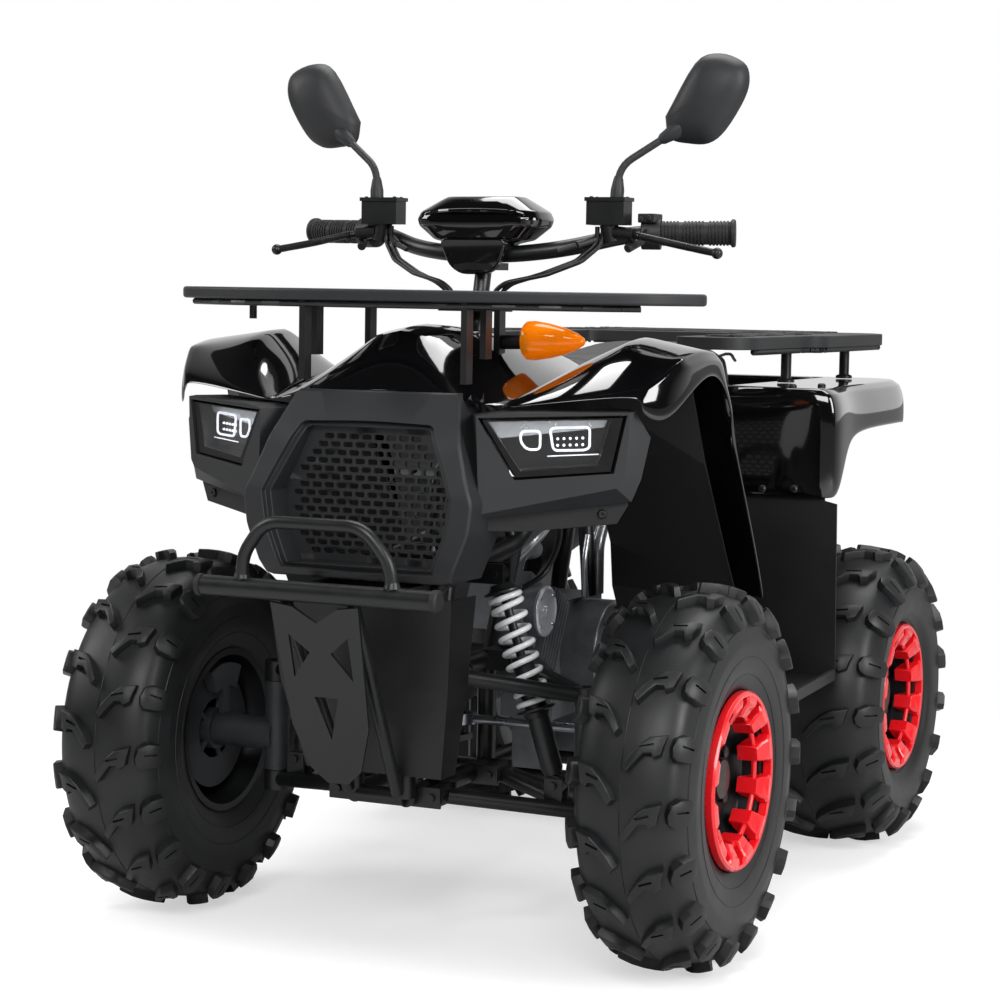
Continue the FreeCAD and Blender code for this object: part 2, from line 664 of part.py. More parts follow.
def frame():
    """Welded frame of round tube with its brackets."""
    front = -dim.front_upright
    middle = -dim.middle_upright
    low = dim.lower_pivot_height
    half = dim.rail_half_front
    top_half = 62
    solids = []
    solids += both_rails([
        V(half, front, low), V(half, middle - 20, low), V(dim.rail_half_main, -190, dim.engine_rail_height),
        V(dim.rail_half_main, 190, dim.engine_rail_height), V(dim.rail_half_main, 250, 400),
        V(dim.rail_half_main, 330, dim.seat_rail_height),
    ])
    solids += both_rails([
        V(half, front, low), V(half, front, 300), V(top_half, front, 470), V(top_half, middle, 500),
        V(88, -190, 590), V(100, -80, dim.seat_rail_height), V(100, 450, dim.seat_rail_height),
        V(105, 640, dim.seat_rail_height + 20),
    ])
    solids += both_rails([V(half, middle - 20, low), V(half, middle - 20, 330), V(top_half, middle, 500)])
    arm_rail = dim.upper_pivot_half - 34
    solids += both_rails([V(arm_rail, front, dim.upper_pivot_height),
                          V(arm_rail, middle, dim.upper_pivot_height)])
    bars = (
        (half, front, low), (top_half, front, 470), (half, middle - 20, low),
        (arm_rail, middle, dim.upper_pivot_height), (top_half, middle, 500),
        (dim.rail_half_main, -70, dim.engine_rail_height),
        (dim.rail_half_main, 80, dim.engine_rail_height), (100, 300, dim.seat_rail_height),
        (104, 600, dim.seat_rail_height + 17), (arm_rail, front, dim.upper_pivot_height),
        (top_half, -dim.damper_plane, 486),
    )
    for reach, y, z in bars:
        solids.append(crossbar(reach, y, z, 11))
    damper_pin = V(dim.damper_top_half, -dim.damper_plane, dim.damper_top_height)
    brackets = clevis(damper_pin, top_half, 8.3, 4)
    for ahead in (dim.arm_pivot_front, dim.arm_pivot_rear):
        bush = dim.arm_eye_length / 2
        brackets += clevis(V(dim.lower_pivot_half, -ahead, dim.lower_pivot_height), half, bush, 4)
        brackets += clevis(V(dim.upper_pivot_half, -ahead, dim.upper_pivot_height), arm_rail, bush, 4)
    solids += brackets + [mirrored(item) for item in brackets]
    solids += steering_supports(top_half, middle)
    solids += swingarm_lugs()
    solids += rear_damper_lugs()
    stays = footrest_stays()
    solids += stays + [mirrored(item) for item in stays]
    shape = solids[0]
    for item in solids[1:]:
        shape = shape.fuse(item)
    reach = column_axis() * 30
    for spot in (0.12, 0.72):
        shape = shape.cut(cylinder(column_point(spot) - reach, column_point(spot) + reach,
                                   dim.column_radius + dim.running_gap))
    return shape


def column_axis():
    return (column_point(1) - column_point(0)).normalize()


def column_point(share):
    foot = V(0, -dim.column_foot_ahead, dim.column_foot_height)
    head = V(0, -dim.column_top_ahead, dim.column_top_height)
    return foot + (head - foot) * share


def steering_supports(top_half, middle):
    """Bushes that hold the steering column."""
    solids = []
    upper = column_point(0.72)
    lower = column_point(0.12)
    solids.append(cylinder(upper - column_axis() * 15, upper + column_axis() * 15, 19))
    for side in (1, -1):
        solids.append(cylinder(V(side * top_half, middle, 500), upper + V(side * 14, 0, 0), 8))
        solids.append(cylinder(V(side * 88, -190, 590), upper + V(side * 14, 4, 0), 8))
    return solids


def footrest_stays():
    """Tubes that carry the left footrest from the lower rail."""
    radius = 9
    height = dim.footrest_height - radius - dim.seat_gap
    inner = dim.rail_half_main + 5
    outer = dim.footrest_half_width - 70
    stays = [cylinder(V(outer, -49, height), V(outer, 129, height), radius)]
    for y in (-40, 120):
        route = [V(inner, y, dim.engine_rail_height), V(inner, y, height), V(outer, y, height)]
        stays.append(tube(route, radius, 30))
    return stays


def swingarm_lugs():
    pivot = V(0, dim.swingarm_pivot_back, dim.swingarm_pivot_height)
    solids = [cylinder(pivot - V(dim.rail_half_main, 0, 0), pivot + V(dim.rail_half_main, 0, 0), 8)]
    for side in (1, -1):
        x = side * dim.rail_half_main
        lug_outline = [(pivot.y - 20, dim.engine_rail_height), (pivot.y + 20, dim.engine_rail_height),
                       (pivot.y + 16, pivot.z + 16), (pivot.y - 16, pivot.z + 16)]
        solids.append(side_plate(lug_outline, x - 3, 6))
    return solids


def rear_damper_lugs():
    """Lugs under the seat crossbar with the damper's bolt along X."""
    pin = rear_damper_top()
    solids = [cylinder(pin - V(16, 0, 0), pin + V(16, 0, 0), 5)]
    for low in (-12.5, 8.5):
        solids.append(block(V(low, pin.y - 12, pin.z - 13), V(low + 4, pin.y + 18, dim.seat_rail_height)))
    return solids


def rear_damper_top():
    return V(0, 290, 580)


def rear_damper_bottom():
    return V(0, 300, 305)


keep("frame", frame())

# Rear suspension, axle and drive

SWING_PIVOT = V(0, dim.swingarm_pivot_back, dim.swingarm_pivot_height)


def swingarm():
    """Swingarm: pivot sleeve, two tubes, axle carrier and damper lugs."""
    left, right = 60, -32
    sleeve = cylinder(SWING_PIVOT + V(right - 8, 0, 0), SWING_PIVOT + V(left + 10, 0, 0), 15)
    carrier = cylinder(REAR_AXLE + V(right - 8, 0, 0), REAR_AXLE + V(left + 6, 0, 0), dim.axle_housing_radius)
    solids = [sleeve, carrier]
    for x in (left - 6, right + 6):
        solids.append(cylinder(SWING_PIVOT + V(x, 0, 0), REAR_AXLE + V(x, 0, 0), 12))
    pin = rear_damper_bottom()
    solids.append(cylinder(V(right + 6, pin.y, 242), V(left - 6, pin.y, 242), 11))
    for low in (-12.5, 8.5):
        solids.append(block(V(low, pin.y - 12, 240), V(low + 4, pin.y + 12, pin.z + 9)))
    solids.append(cylinder(pin - V(16, 0, 0), pin + V(16, 0, 0), 5))
    shape = welded(solids)
    reach = V(90, 0, 0)
    shape = shape.cut(cylinder(SWING_PIVOT - reach, SWING_PIVOT + reach, 8.3))
    return shape.cut(cylinder(REAR_AXLE - reach, REAR_AXLE + reach, dim.axle_radius + dim.running_gap))


keep("swingarm", swingarm())
REAR_DAMPER, REAR_SPRING = coil_over(rear_damper_top(), rear_damper_bottom(), V(8, 0, 0))
keep("dampers", Part.makeCompound([LEFT_DAMPER, mirrored(LEFT_DAMPER), REAR_DAMPER]))
keep("coil_springs", Part.makeCompound([LEFT_SPRING, mirrored(LEFT_SPRING), REAR_SPRING]))


def rear_axle():
    """Axle shaft with the wheel flanges, the sprocket and the brake disc."""
    offset = dim.rear_track / 2 + dim.wheel_face_offset + 22
    solids = [cylinder(REAR_AXLE - V(offset + 14, 0, 0), REAR_AXLE + V(offset + 14, 0, 0), dim.axle_radius)]
    for side in (1, -1):
        inner = side * (offset - 9)
        solids.append(cylinder(REAR_AXLE + V(inner, 0, 0), REAR_AXLE + V(side * (offset - 0.3), 0, 0), 41))
        solids.append(cylinder(REAR_AXLE + V(side * (offset - 60), 0, 0),
                               REAR_AXLE + V(side * (offset + 10), 0, 0), dim.hub_radius - 0.4))
    sprocket = REAR_AXLE + V(dim.chain_side, 0, 0)
    solids.append(cylinder(sprocket - V(3, 0, 0), sprocket + V(3, 0, 0), dim.sprocket_radius))
    solids.append(cylinder(sprocket - V(14, 0, 0), sprocket + V(5, 0, 0), 30))
    disc = REAR_AXLE + V(82, 0, 0)
    solids.append(cylinder(disc - V(2, 0, 0), disc + V(2, 0, 0), dim.rear_disc_radius))
    solids.append(cylinder(disc - V(6, 0, 0), disc + V(14, 0, 0), 28))
    return welded(solids)


keep("rear_axle", rear_axle())


def belt_face(first, first_radius, second, second_radius, x):
    """The area inside a belt round two wheels, in a plane of constant X; second lies behind first."""
    gap = second - first
    lean = math.asin((second_radius - first_radius) / gap.Length)
    along = math.atan2(gap.z, gap.y)

    def spot(centre, radius, angle):
        return V(x, centre.y + radius * math.cos(angle), centre.z + radius * math.sin(angle))

    up = along + math.pi / 2 + lean
    down = along - math.pi / 2 - lean
    top_run = Part.LineSegment(spot(first, first_radius, up), spot(second, second_radius, up)).toShape()
    back = Part.Arc(spot(second, second_radius, up), spot(second, second_radius, along),
                    spot(second, second_radius, down)).toShape()
    low_run = Part.LineSegment(spot(second, second_radius, down), spot(first, first_radius, down)).toShape()
    front = Part.Arc(spot(first, first_radius, down), spot(first, first_radius, along + math.pi),
                     spot(first, first_radius, up)).toShape()
    return Part.Face(Part.Wire([top_run, back, low_run, front]))


DRIVE = V(0, 66, 262)


def chain():
    x = dim.chain_side - dim.chain_width / 2
    height = 9
    outer = belt_face(DRIVE, dim.drive_sprocket_radius + height, REAR_AXLE, dim.sprocket_radius + height, x)
    inner = belt_face(DRIVE, dim.drive_sprocket_radius + 0.6, REAR_AXLE, dim.sprocket_radius + 0.6, x)
    run = V(dim.chain_width, 0, 0)
    return outer.extrude(run).cut(inner.extrude(run))


keep("drive_chain", chain())

# Engine and exhaust


def engine():
    """Crankcase with side covers, finned cylinder leaning forwards and head with its cam cover."""
    lean = math.radians(28)
    axis = V(0, -math.cos(lean), math.sin(lean))
    foot = V(0, -70, 345)
    solids = [block(V(-40, -95, 235), V(40, 80, 400))]
    solids.append(cylinder(V(38, 5, 322), V(90, 5, 322), 76))
    solids.append(cylinder(V(-38, -58, 322), V(-88, -58, 322), 68))
    for y in (-70, 80):
        solids.append(block(V(-26, y - 14, dim.engine_rail_height + 11.3), V(26, y + 12, 240)))
    solids.append(cylinder(V(-38, DRIVE.y, DRIVE.z), V(dim.chain_side - 8, DRIVE.y, DRIVE.z), 9))
    sprocket = V(dim.chain_side, DRIVE.y, DRIVE.z)
    solids.append(cylinder(sprocket - V(3, 0, 0), sprocket + V(3, 0, 0), dim.drive_sprocket_radius))
    solids.append(cylinder(foot, foot + axis * 100, 36))
    frame_up = V(0, math.sin(lean), math.cos(lean))

    def slab(start, length, half_wide, half_high):
        corners = [(-half_wide, -half_high), (half_wide, -half_high), (half_wide, half_high),
                   (-half_wide, half_high)]
        base = foot + axis * start
        return plate([base + V(x, 0, 0) + frame_up * h for x, h in corners], axis * length)

    for step in range(7):
        solids.append(slab(18 + 9 * step, 3, 50, 52))
    solids.append(slab(88, 62, 44, 44))
    cam = foot + axis * 118
    solids.append(cylinder(cam + V(40, 0, 0), cam + V(60, 0, 0), 36))
    solids.append(tube([cam + frame_up * 36, cam + frame_up * 85, cam + frame_up * 110 - axis * 50], 14, 30))
    return welded(solids)


keep("engine", engine())


def exhaust():
    """Header pipe and silencer on the right side."""
    pipe = tube([V(-28, -178, 344), V(-28, -214, 290), V(-84, -206, 262), V(-131, -130, 304),
                 V(-131, 160, 322), V(-152, 214, 428)], 13, 60)
    start = V(-152, 212, 424)
    run = V(0, 220, 44)
    can = cylinder(start, start + run, 37)
    tip = cylinder(start + run * 0.99, start + run * 1.14, 14)
    rail_bottom = dim.seat_rail_height - dim.frame_tube_radius - dim.seat_gap
    strap = block(V(-156, 350, 470), V(-148, 370, 560))
    hanger = block(V(-156, 350, 552), V(-96, 370, 560))
    lug = block(V(-104, 350, 552), V(-96, 370, rail_bottom))
    return welded([pipe, can, tip, strap, hanger, lug])


keep("exhaust", exhaust())

# Steering


def steering_column():
    """Column with the pitman plate at its foot, the bar seat at its head and a cable guide."""
    head = column_point(1)
    shaft = cylinder(column_point(0), head, dim.column_radius)
    back = -dim.column_foot_ahead + dim.steering_arm_back
    plate_top = dim.tie_rod_height - 21
    pitman = top_plate([(-14, -dim.column_foot_ahead - 10), (14, -dim.column_foot_ahead - 10),
                        (dim.steering_arm_out + 10, back + 10), (-dim.steering_arm_out - 10, back + 10)],
                       plate_top - 8, 8)
    solids = [shaft, pitman]
    for side in (1, -1):
        stud = V(side * dim.steering_arm_out, back, plate_top - 4)
        solids.append(cylinder(stud, at_height(stud, dim.tie_rod_height + 22), 4))
    solids.append(block(V(-28, head.y - 36, head.z - 9), V(28, head.y + 16, head.z + 0.7)))
    guide = column_point(0.905)
    solids.append(block(V(-46, guide.y - 30, guide.z - 3), V(46, guide.y + 6, guide.z + 3)))
    return welded(solids)


keep("steering_column", steering_column())

BAR_HEIGHT = dim.column_top_height + 12


def at_clamp(x, back, rise):
    """A point given from the handlebar clamp."""
    return V(x, back - dim.column_top_ahead, dim.column_top_height + rise)


def bar_points():
    return [at_clamp(dim.bar_half_length, 104, 44), at_clamp(188, 66, 42), at_clamp(108, 16, 20),
            at_clamp(44, 0, 12)]


def handlebar():
    left = bar_points()
    points = left + [swap(point) for point in reversed(left)]
    bar = tube(points, dim.bar_radius, 60)
    cap = block(V(-26, -dim.column_top_ahead - 15, BAR_HEIGHT),
                V(26, -dim.column_top_ahead + 15, BAR_HEIGHT + 12.5))
    return bar.fuse(cap)


keep("handlebar", handlebar())


def along_bar(distance):
    """A point on the bar's outer run, measured inwards from its end."""
    end, knee = bar_points()[:2]
    return end + (knee - end).normalize() * distance


def sleeve(near, far, radius, gap):
    return ring(along_bar(near), along_bar(far), radius, dim.bar_radius + gap)


keep("grips", both(sleeve(0, dim.grip_length, dim.grip_radius, 0.1)))


def control(side):
    """Perch, brake lever and reservoir; the left one carries the switch box too."""
    perch = along_bar(dim.grip_length + 12)
    clamp = sleeve(dim.grip_length + 1, dim.grip_length + 11, 18, 0.1)
    reservoir = block(at_clamp(140, 13, 50), at_clamp(193, 43, 88))
    neck = block(at_clamp(192, 24, 36), at_clamp(206, perch.y - 15 + dim.column_top_ahead, 52))
    tip = at_clamp(330, 11, 16)
    lever = tube([at_clamp(196, 28, 40), at_clamp(222, 20, 36), at_clamp(270, 19, 26), tip], 5, 30)
    ball = Part.makeSphere(8, tip)
    shape = welded([clamp, reservoir, neck, lever, ball])
    return shape if side > 0 else mirrored(shape)


keep("controls", Part.makeCompound([control(1), control(-1)]))


def mirror_arm():
    """Stem and head of the left mirror."""
    seat = at_clamp(177, 28, 88 + dim.seat_gap)
    stem = tube([seat, at_clamp(179, 30, 128), at_clamp(250, 59, 178)], 5, 24)
    base = cylinder(seat, seat + V(0, 0, 11.7), 9)
    head = Part.makeSphere(1)
    matrix = FreeCAD.Matrix()
    matrix.scale(V(63, 14, 41))
    head = head.transformGeometry(matrix)
    head.rotate(V(0, 0, 0), V(0, 1, 0), -50)
    head.rotate(V(0, 0, 0), V(0, 0, 1), 12)
    head.translate(at_clamp(284, 66, 218))
    return welded([stem, base, head])


LEFT_MIRROR = mirror_arm()
keep("mirrors", both(LEFT_MIRROR))


def dash_pod():
    """Instrument pod on a foot in front of the bar."""
    def section(back, top, wide, low):
        spots = ((-0.70 * wide, top), (0.70 * wide, top), (wide, top - 40), (0.66 * wide, low),
                 (-0.66 * wide, low), (-wide, top - 40))
        return [at_clamp(x, back, rise) for x, rise in spots]

    pod = loft([section(-44, 70, 78, 13), section(-16, 86, 91, 25), section(21, 88, 86, 27),
                section(41, 78, 74, 29)])
    foot = block(at_clamp(-14, -34, 1), at_clamp(14, -20, 28))
    return welded([pod, foot])


keep("dash_pod", dash_pod())


def cables():
    """Brake cables and leads from the perches to the guide on the column."""
    guide = column_point(0.905)
    solids = []
    for index, x in enumerate((30, 39)):
        foot = guide + V(x, 4 * index - 19.6, 3 + dim.seat_gap)
        start = 160 - 8 * index
        route = [at_clamp(start, 24, 50 - dim.seat_gap), at_clamp(start, 24, 28), at_clamp(start - 22, 6, 4),
                 at_clamp(start - 62, -16, -14), foot + V(16, 0, 31.5), foot + V(0, 0, 19.5), foot]
        solids.append(tube(route, 3.2, 30))
    shape = Part.makeCompound(solids)
    return both(shape)


keep("cables", cables())

# Front end: bumper, skid plate, grille and cowl


def front_bumper():
    """Tube with end caps, a hoop welded on top and arms to the frame."""
    y = -dim.bumper_ahead
    z = dim.bumper_height
    half = dim.bumper_half_length
    solids = [cylinder(V(-half, y, z), V(half, y, z), dim.bumper_radius)]
    top = z + dim.bumper_hoop_rise
    left = [V(101, y, z + 4), V(99, y - 2, z + 40), V(66, y - 7, top)]
    hoop = left + [swap(point) for point in reversed(left)]
    solids.append(tube(hoop, dim.bumper_hoop_radius, 22))
    front = -dim.front_upright - dim.frame_tube_radius - dim.seat_gap
    for side in (1, -1):
        solids.append(cylinder(V(side * (half - 2), y, z), V(side * (half + 8), y, z), dim.bumper_radius + 1))
        inner, outer = sorted((side * 56, side * 68))
        solids.append(block(V(inner, y, 464), V(outer, front, 476)))
        solids.append(cylinder(V(side * 46, y + 6, z - 8), V(side * 34, front - 6.6, 213), 8))
    return welded(solids)


keep("front_bumper", front_bumper())


def skid_plate():
    """V-shaped guard below the bumper, padded from a sketch in its own plane."""
    body = doc.addObject("PartDesign::Body", "skid_plate")
    body.Label = "skid_plate"
    face = sketch_on(body, "XY_Plane", "skid_outline")
    outline(face, (("-59", "0"), ("-30", "-4"), ("0", "-24"), ("30", "-4"), ("59", "0"), ("52", "-158"),
                   ("34", "-216"), ("14", "-234"), ("-14", "-234"), ("-34", "-216"), ("-52", "-158")))
    pad = body.newObject("PartDesign::Pad", "skid_pad")
    pad.Profile = face
    pad.Length = 4
    holes = sketch_on(body, "XY_Plane", "skid_windows")
    outline(holes, (("14", "-62"), ("40", "-40"), ("40", "-96")))
    outline(holes, (("-14", "-62"), ("-40", "-96"), ("-40", "-40")))
    outline(holes, (("-16", "-120"), ("0", "-176"), ("16", "-120")))
    doc.recompute()
    cut = body.newObject("PartDesign::Pocket", "skid_cut")
    cut.Profile = holes
    cut.Type = "ThroughAll"
    cut.Midplane = True
    face.Visibility = False
    holes.Visibility = False
    lean = math.degrees(math.atan2(66, 226))
    top = V(0, -dim.bumper_ahead - 2, dim.bumper_height - dim.bumper_radius - dim.seat_gap)
    body.Placement = FreeCAD.Placement(top, FreeCAD.Rotation(V(1, 0, 0), 90 + lean))
    pieces.append(body)


skid_plate()


def surround_profile():
    """Side view of the nose as (y, z) pairs, with the front face broken at the widest line."""
    front = -dim.nose_ahead
    low = dim.nose_bottom
    top = dim.nose_top
    hood_edge = front + 60.7
    return [(front + 10, low), (front, low + 18), (front, low + 108), (front + 18, low + 172),
            (front + 57, top), (hood_edge, top), (hood_edge, top - 23), (front + dim.nose_depth + 20, top - 23),
            (front + dim.nose_depth, low + 30), (front + dim.nose_depth - 30, low)]


OPENING = [(-84, 667), (84, 667), (122, 586), (116, 545), (98, 499), (-98, 499), (-116, 545), (-122, 586)]


GRILLE_CENTRE = (0, 583)


def scaled(outline_points, centre, growth):
    """An outline whose corners move out from the centre by a distance, or in where it is negative."""
    moved = []
    for x, z in outline_points:
        reach = math.hypot(x - centre[0], z - centre[1])
        share = 1 + growth / reach
        moved.append((centre[0] + (x - centre[0]) * share, centre[1] + (z - centre[1]) * share))
    return moved


def grille_surround():
    """Six-cornered bezel, thick at the top, open in the middle."""
    low = dim.nose_bottom
    top = dim.nose_top
    outer = [(-112, top), (112, top), (146, low + 128), (157, low + 100), (152, low + 62), (127, low),
             (-127, low), (-152, low + 62), (-157, low + 100), (-146, low + 128)]
    shape = front_plate(outer, -dim.nose_ahead - 10, 160)
    side = side_plate(surround_profile(), -200, 400)
    shape = shape.common(side)
    rebate = front_plate(scaled(OPENING, GRILLE_CENTRE, 8), -dim.nose_ahead - 20, 200)
    front = -dim.nose_ahead
    depth = 9
    face = [(front - 20, low), (front + depth, low), (front + depth, low + 108),
            (front + 18 + depth, low + 172), (front + 57 + depth, top), (front - 20, top)]
    rebate = rebate.common(side_plate(face, -200, 400))
    shape = shape.cut(rebate)
    return shape.cut(front_plate(OPENING, -dim.nose_ahead - 20, 200))


keep("grille_surround", grille_surround())


def slot_spots():
    """Middles of the grille's slots: rows set over each other like bricks, inside the opening's edge."""
    edge = polygon([V(x, 0, z) for x, z in scaled(OPENING, GRILLE_CENTRE, -5)])
    half = dim.slot_length / 2
    tall = dim.slot_height / 2
    spots = []
    for row in range(-9, 10):
        z = GRILLE_CENTRE[1] + row * dim.slot_rise
        for column in range(-8, 9):
            x = (column + 0.5 * (row % 2)) * dim.slot_pitch
            ends = [V(x + side * half, 0, z + rise * tall) for side in (1, -1) for rise in (1, -1)]
            if all(edge.isInside(spot, 0.01, True) for spot in ends):
                spots.append((x, z))
    return spots


def grille():
    """Mesh panel set back in the surround, with rows of slots."""
    y = -dim.nose_ahead + 46
    half = dim.slot_length / 2
    tall = dim.slot_height / 2
    edge = [V(x, y, z) for x, z in scaled(OPENING, GRILLE_CENTRE, -dim.seat_gap)]
    loops = [Part.makePolygon(edge + edge[:1])]
    for x, z in slot_spots():
        corners = [V(x - half, y, z - tall), V(x + half, y, z - tall),
                   V(x + half, y, z + tall), V(x - half, y, z + tall)]
        loops.append(Part.makePolygon(corners + corners[:1]))
    return Part.Face(loops, "Part::FaceMakerBullseye").extrude(V(0, dim.grille_thickness, 0))


keep("grille_mesh", grille())


def wing_y(x):
    """The headlamp plane's Y at a given X."""
    return -600 + (x - 130) * 0.5784


INWARD = V(-0.5007, 0.8656, 0)
LAMP = [(150, 684), (306, 689), (293, 629), (189, 612)]


def wing_prism(outline_points, start, depth):
    points = [V(x, wing_y(x), z) + INWARD * start for x, z in outline_points]
    return plate(points, INWARD * depth)


def front_cowl():
    """Left wing: the panel round the headlamp, reaching down to a pointed lower edge."""
    outer = [(148, 686), (180, 691), (312, 693), (333, 662), (314, 584), (299, 597), (152, 568)]
    shape = wing_prism(outer, 0, 60)
    shape = shape.cut(wing_prism(LAMP, -5, 100))
    nose = front_plate([(-112, 711), (112, 711), (146, 610), (157, 582), (152, 544), (127, 482), (-127, 482),
                        (-152, 544), (-157, 582), (-146, 610)], -700, 215)
    return shape.cut(nose)


keep("front_cowl", both(front_cowl()))


LAMP_CENTRE = (235, 653)


def headlamp():
    """Lamp unit set 3 mm behind the cowl's face: bezel, recess, reflector band and two outlines of light."""
    gap = dim.seat_gap
    shape = wing_prism(scaled(LAMP, LAMP_CENTRE, -1.6 * gap), 3, dim.lamp_depth)
    shape = shape.cut(block(V(0, -900, 0), V(158, 0, 900)))
    recess = [(168, 678), (296, 682), (286, 634), (196, 620)]
    shape = shape.cut(wing_prism(recess, -2, 27))
    band = [(168, 678), (296, 682), (294, 672), (170, 667)]
    shape = shape.fuse(wing_prism(band, 9, 17))
    for outline_points in ([(190, 662), (214, 663), (214, 636), (198, 634), (188, 646)],
                           [(226, 664), (284, 666), (277, 640), (226, 637)]):
        frame_out = wing_prism(outline_points, 14, 12)
        middle = (sum(x for x, z in outline_points) / len(outline_points),
                  sum(z for x, z in outline_points) / len(outline_points))
        frame_in = wing_prism(scaled(outline_points, middle, -4), 13, 11)
        shape = shape.fuse(frame_out.cut(frame_in))
    return shape


keep("headlights", both(headlamp()))


def chin_guard():
    """Channel-shaped panel below the grille, in front of the suspension."""
    wall = dim.panel

    def row(y, z, half, back):
        return [V(-half, y + back, z), V(-half, y, z), V(half, y, z), V(half, y + back, z)]

    top = dim.bumper_height - 13 - dim.seat_gap
    outer = loft([row(-604, top, 126, 70), row(-590, 350, 116, 56), row(-560, 236, 94, 40)])
    inner = loft([row(-604 + wall, top + 1, 126 - wall, 71), row(-590 + wall, 350, 116 - wall, 57),
                  row(-560 + wall, 235, 94 - wall, 41)])
    return outer.cut(inner)


keep("chin_guard", chin_guard())

# Body panels


def arch(y, spots):
    """A cross-section at one Y from (x, z) pairs given from the middle outwards, with its mirror image."""
    right = [V(-x, y, z) for x, z in reversed(spots)]
    left = [V(x, y, z) for x, z in spots if x > 0]
    return right + left


HOOD_SECTIONS = [
    arch(-556, [(0, 712), (45, 712), (104, 708), (150, 697)]),
    arch(-500, [(0, dim.hood_top - 14), (48, dim.hood_top - 27), (110, 728), (172, 702)]),
    arch(-400, [(0, dim.hood_top), (60, dim.hood_top - 12), (120, 742), (178, 722)]),
    arch(-300, [(0, dim.hood_top - 16), (60, dim.hood_top - 24), (120, 744), (178, 728)]),
    arch(-180, [(0, dim.hood_top - 26), (60, dim.hood_top - 36), (116, 736), (164, 708)]),
    arch(-62, [(0, 742), (60, 738), (100, 716), (128, 668)]),
]


def hood_space():
    """Everything under the hood's surface, lifted by the fitting gap."""
    lift = V(0, 0, dim.seat_gap)
    wires = []
    for section in HOOD_SECTIONS:
        floor = [at_height(section[-1], 500), at_height(section[0], 500)]
        loop = [point + lift for point in section] + floor
        wires.append(Part.makePolygon(loop + [loop[0]]))
    return facing_out(Part.makeLoft(wires, True, True))


def hood():
    """Cover over the tank and the column, with a hole for the column."""
    drop = V(0, 0, -dim.panel)
    shape = skin(HOOD_SECTIONS, drop)
    gap = cylinder(column_point(0.5), column_point(1.6), 48)
    return shape.cut(gap)


keep("hood", hood())


def front_fender():
    """Left front fender: top over the wheel and its rear face down to the footrest."""
    outer = dim.fender_half_width
    drop = V(-3, 0, -dim.panel)
    lean = V(-3, -2.6, -2.6)
    face = V(-3, -dim.panel, 0)
    stations = (
        ((140, -556.1, 690), (230, -525.4, 704), (308, -498.7, 699), (316, -496, 690), V(-3, -1.02, -3.5)),
        ((160, -486, 700), (262, -476, 730), (outer - 22, -470, 722), (outer - 18, -470, 700), drop),
        ((166, -410, 718), (270, -410, 776), (outer - 8, -416, 768), (outer - 2, -414, 738), drop),
        ((166, -330, 718), (262, -330, 782), (outer - 12, -348, 766), (outer - 4, -344, 736), drop),
        ((164, -250, 700), (262, -262, 716), (outer - 14, -282, 652), (outer - 4, -300, 640), lean),
        ((182, -150, 600), (262, -170, 560), (outer - 12, -196, 517), (outer - 2, -212, 510), face),
        ((182, -110, 434), (262, -128, 434), (outer - 10, -152, 434), (outer, -168, 434), face),
    )
    sections = [[V(*spot) for spot in station[:-1]] for station in stations]
    panel = shell_panel(sections, [station[-1] for station in stations])
    return largest(panel.cut(hood_space()))


keep("front_fenders", both(front_fender()))


def arch_liner():
    """Left inner panel of the wheel arch, under the fender and down to the footrest."""
    front = dim.footrest_front
    tread = dim.footrest_height
    stations = (
        ((186, -440, 706), (330, -440, 720), V(0, 0, -dim.panel)),
        ((186, -345, 716), (330, -352, 738), V(0, 0, -dim.panel)),
        ((160, -268, 640), (335, -300, 622), V(0, -2.6, -2.6)),
        ((156, -172, 500), (338, -218, 494), V(0, -dim.panel, 0)),
        ((154, -158, 440), (342, -184, 436), V(0, -dim.panel, 0)),
        ((154, -132, 400), (345, -152, 396), V(0, -dim.panel, 0)),
        ((154, -front - 8, 340), (350, -front - 14, 340), V(0, -dim.panel, 0)),
        ((154, -front - dim.seat_gap, tread), (352, -front - dim.seat_gap, tread), V(0, -dim.panel, 0)),
    )
    sections = [[V(*inner), V(*outer)] for inner, outer, wall in stations]
    return shell_panel(sections, [wall for inner, outer, wall in stations])


keep("arch_liners", both(arch_liner()))


def footwell():
    """Left footrest with its inner wall and the splash guard ahead of the rear wheel."""
    wall = dim.panel
    tread = dim.footrest_height
    outer = dim.footrest_half_width
    front = dim.footrest_front
    floor = top_plate([(150, -front), (outer - 34, -front), (outer, -84), (outer - 14, 164), (150, 164)],
                      tread, 6)
    inner = side_plate([(-80, tread), (164, tread), (164, 600), (60, 600), (-80, 470)], 150, wall)
    guard = front_plate([(150, tread), (outer - 14, tread), (368, 538), (350, 542), (346, 585), (150, 600)],
                        164 - wall, wall)
    rim_lip = top_plate([(outer - 40, 4 - front), (outer - 34, -front), (outer, -84), (outer - 14, 164),
                         (outer - 20, 164), (outer - 7, -82)], tread, 16)
    return welded([floor, inner, guard, rim_lip])


keep("footwells", both(footwell()))


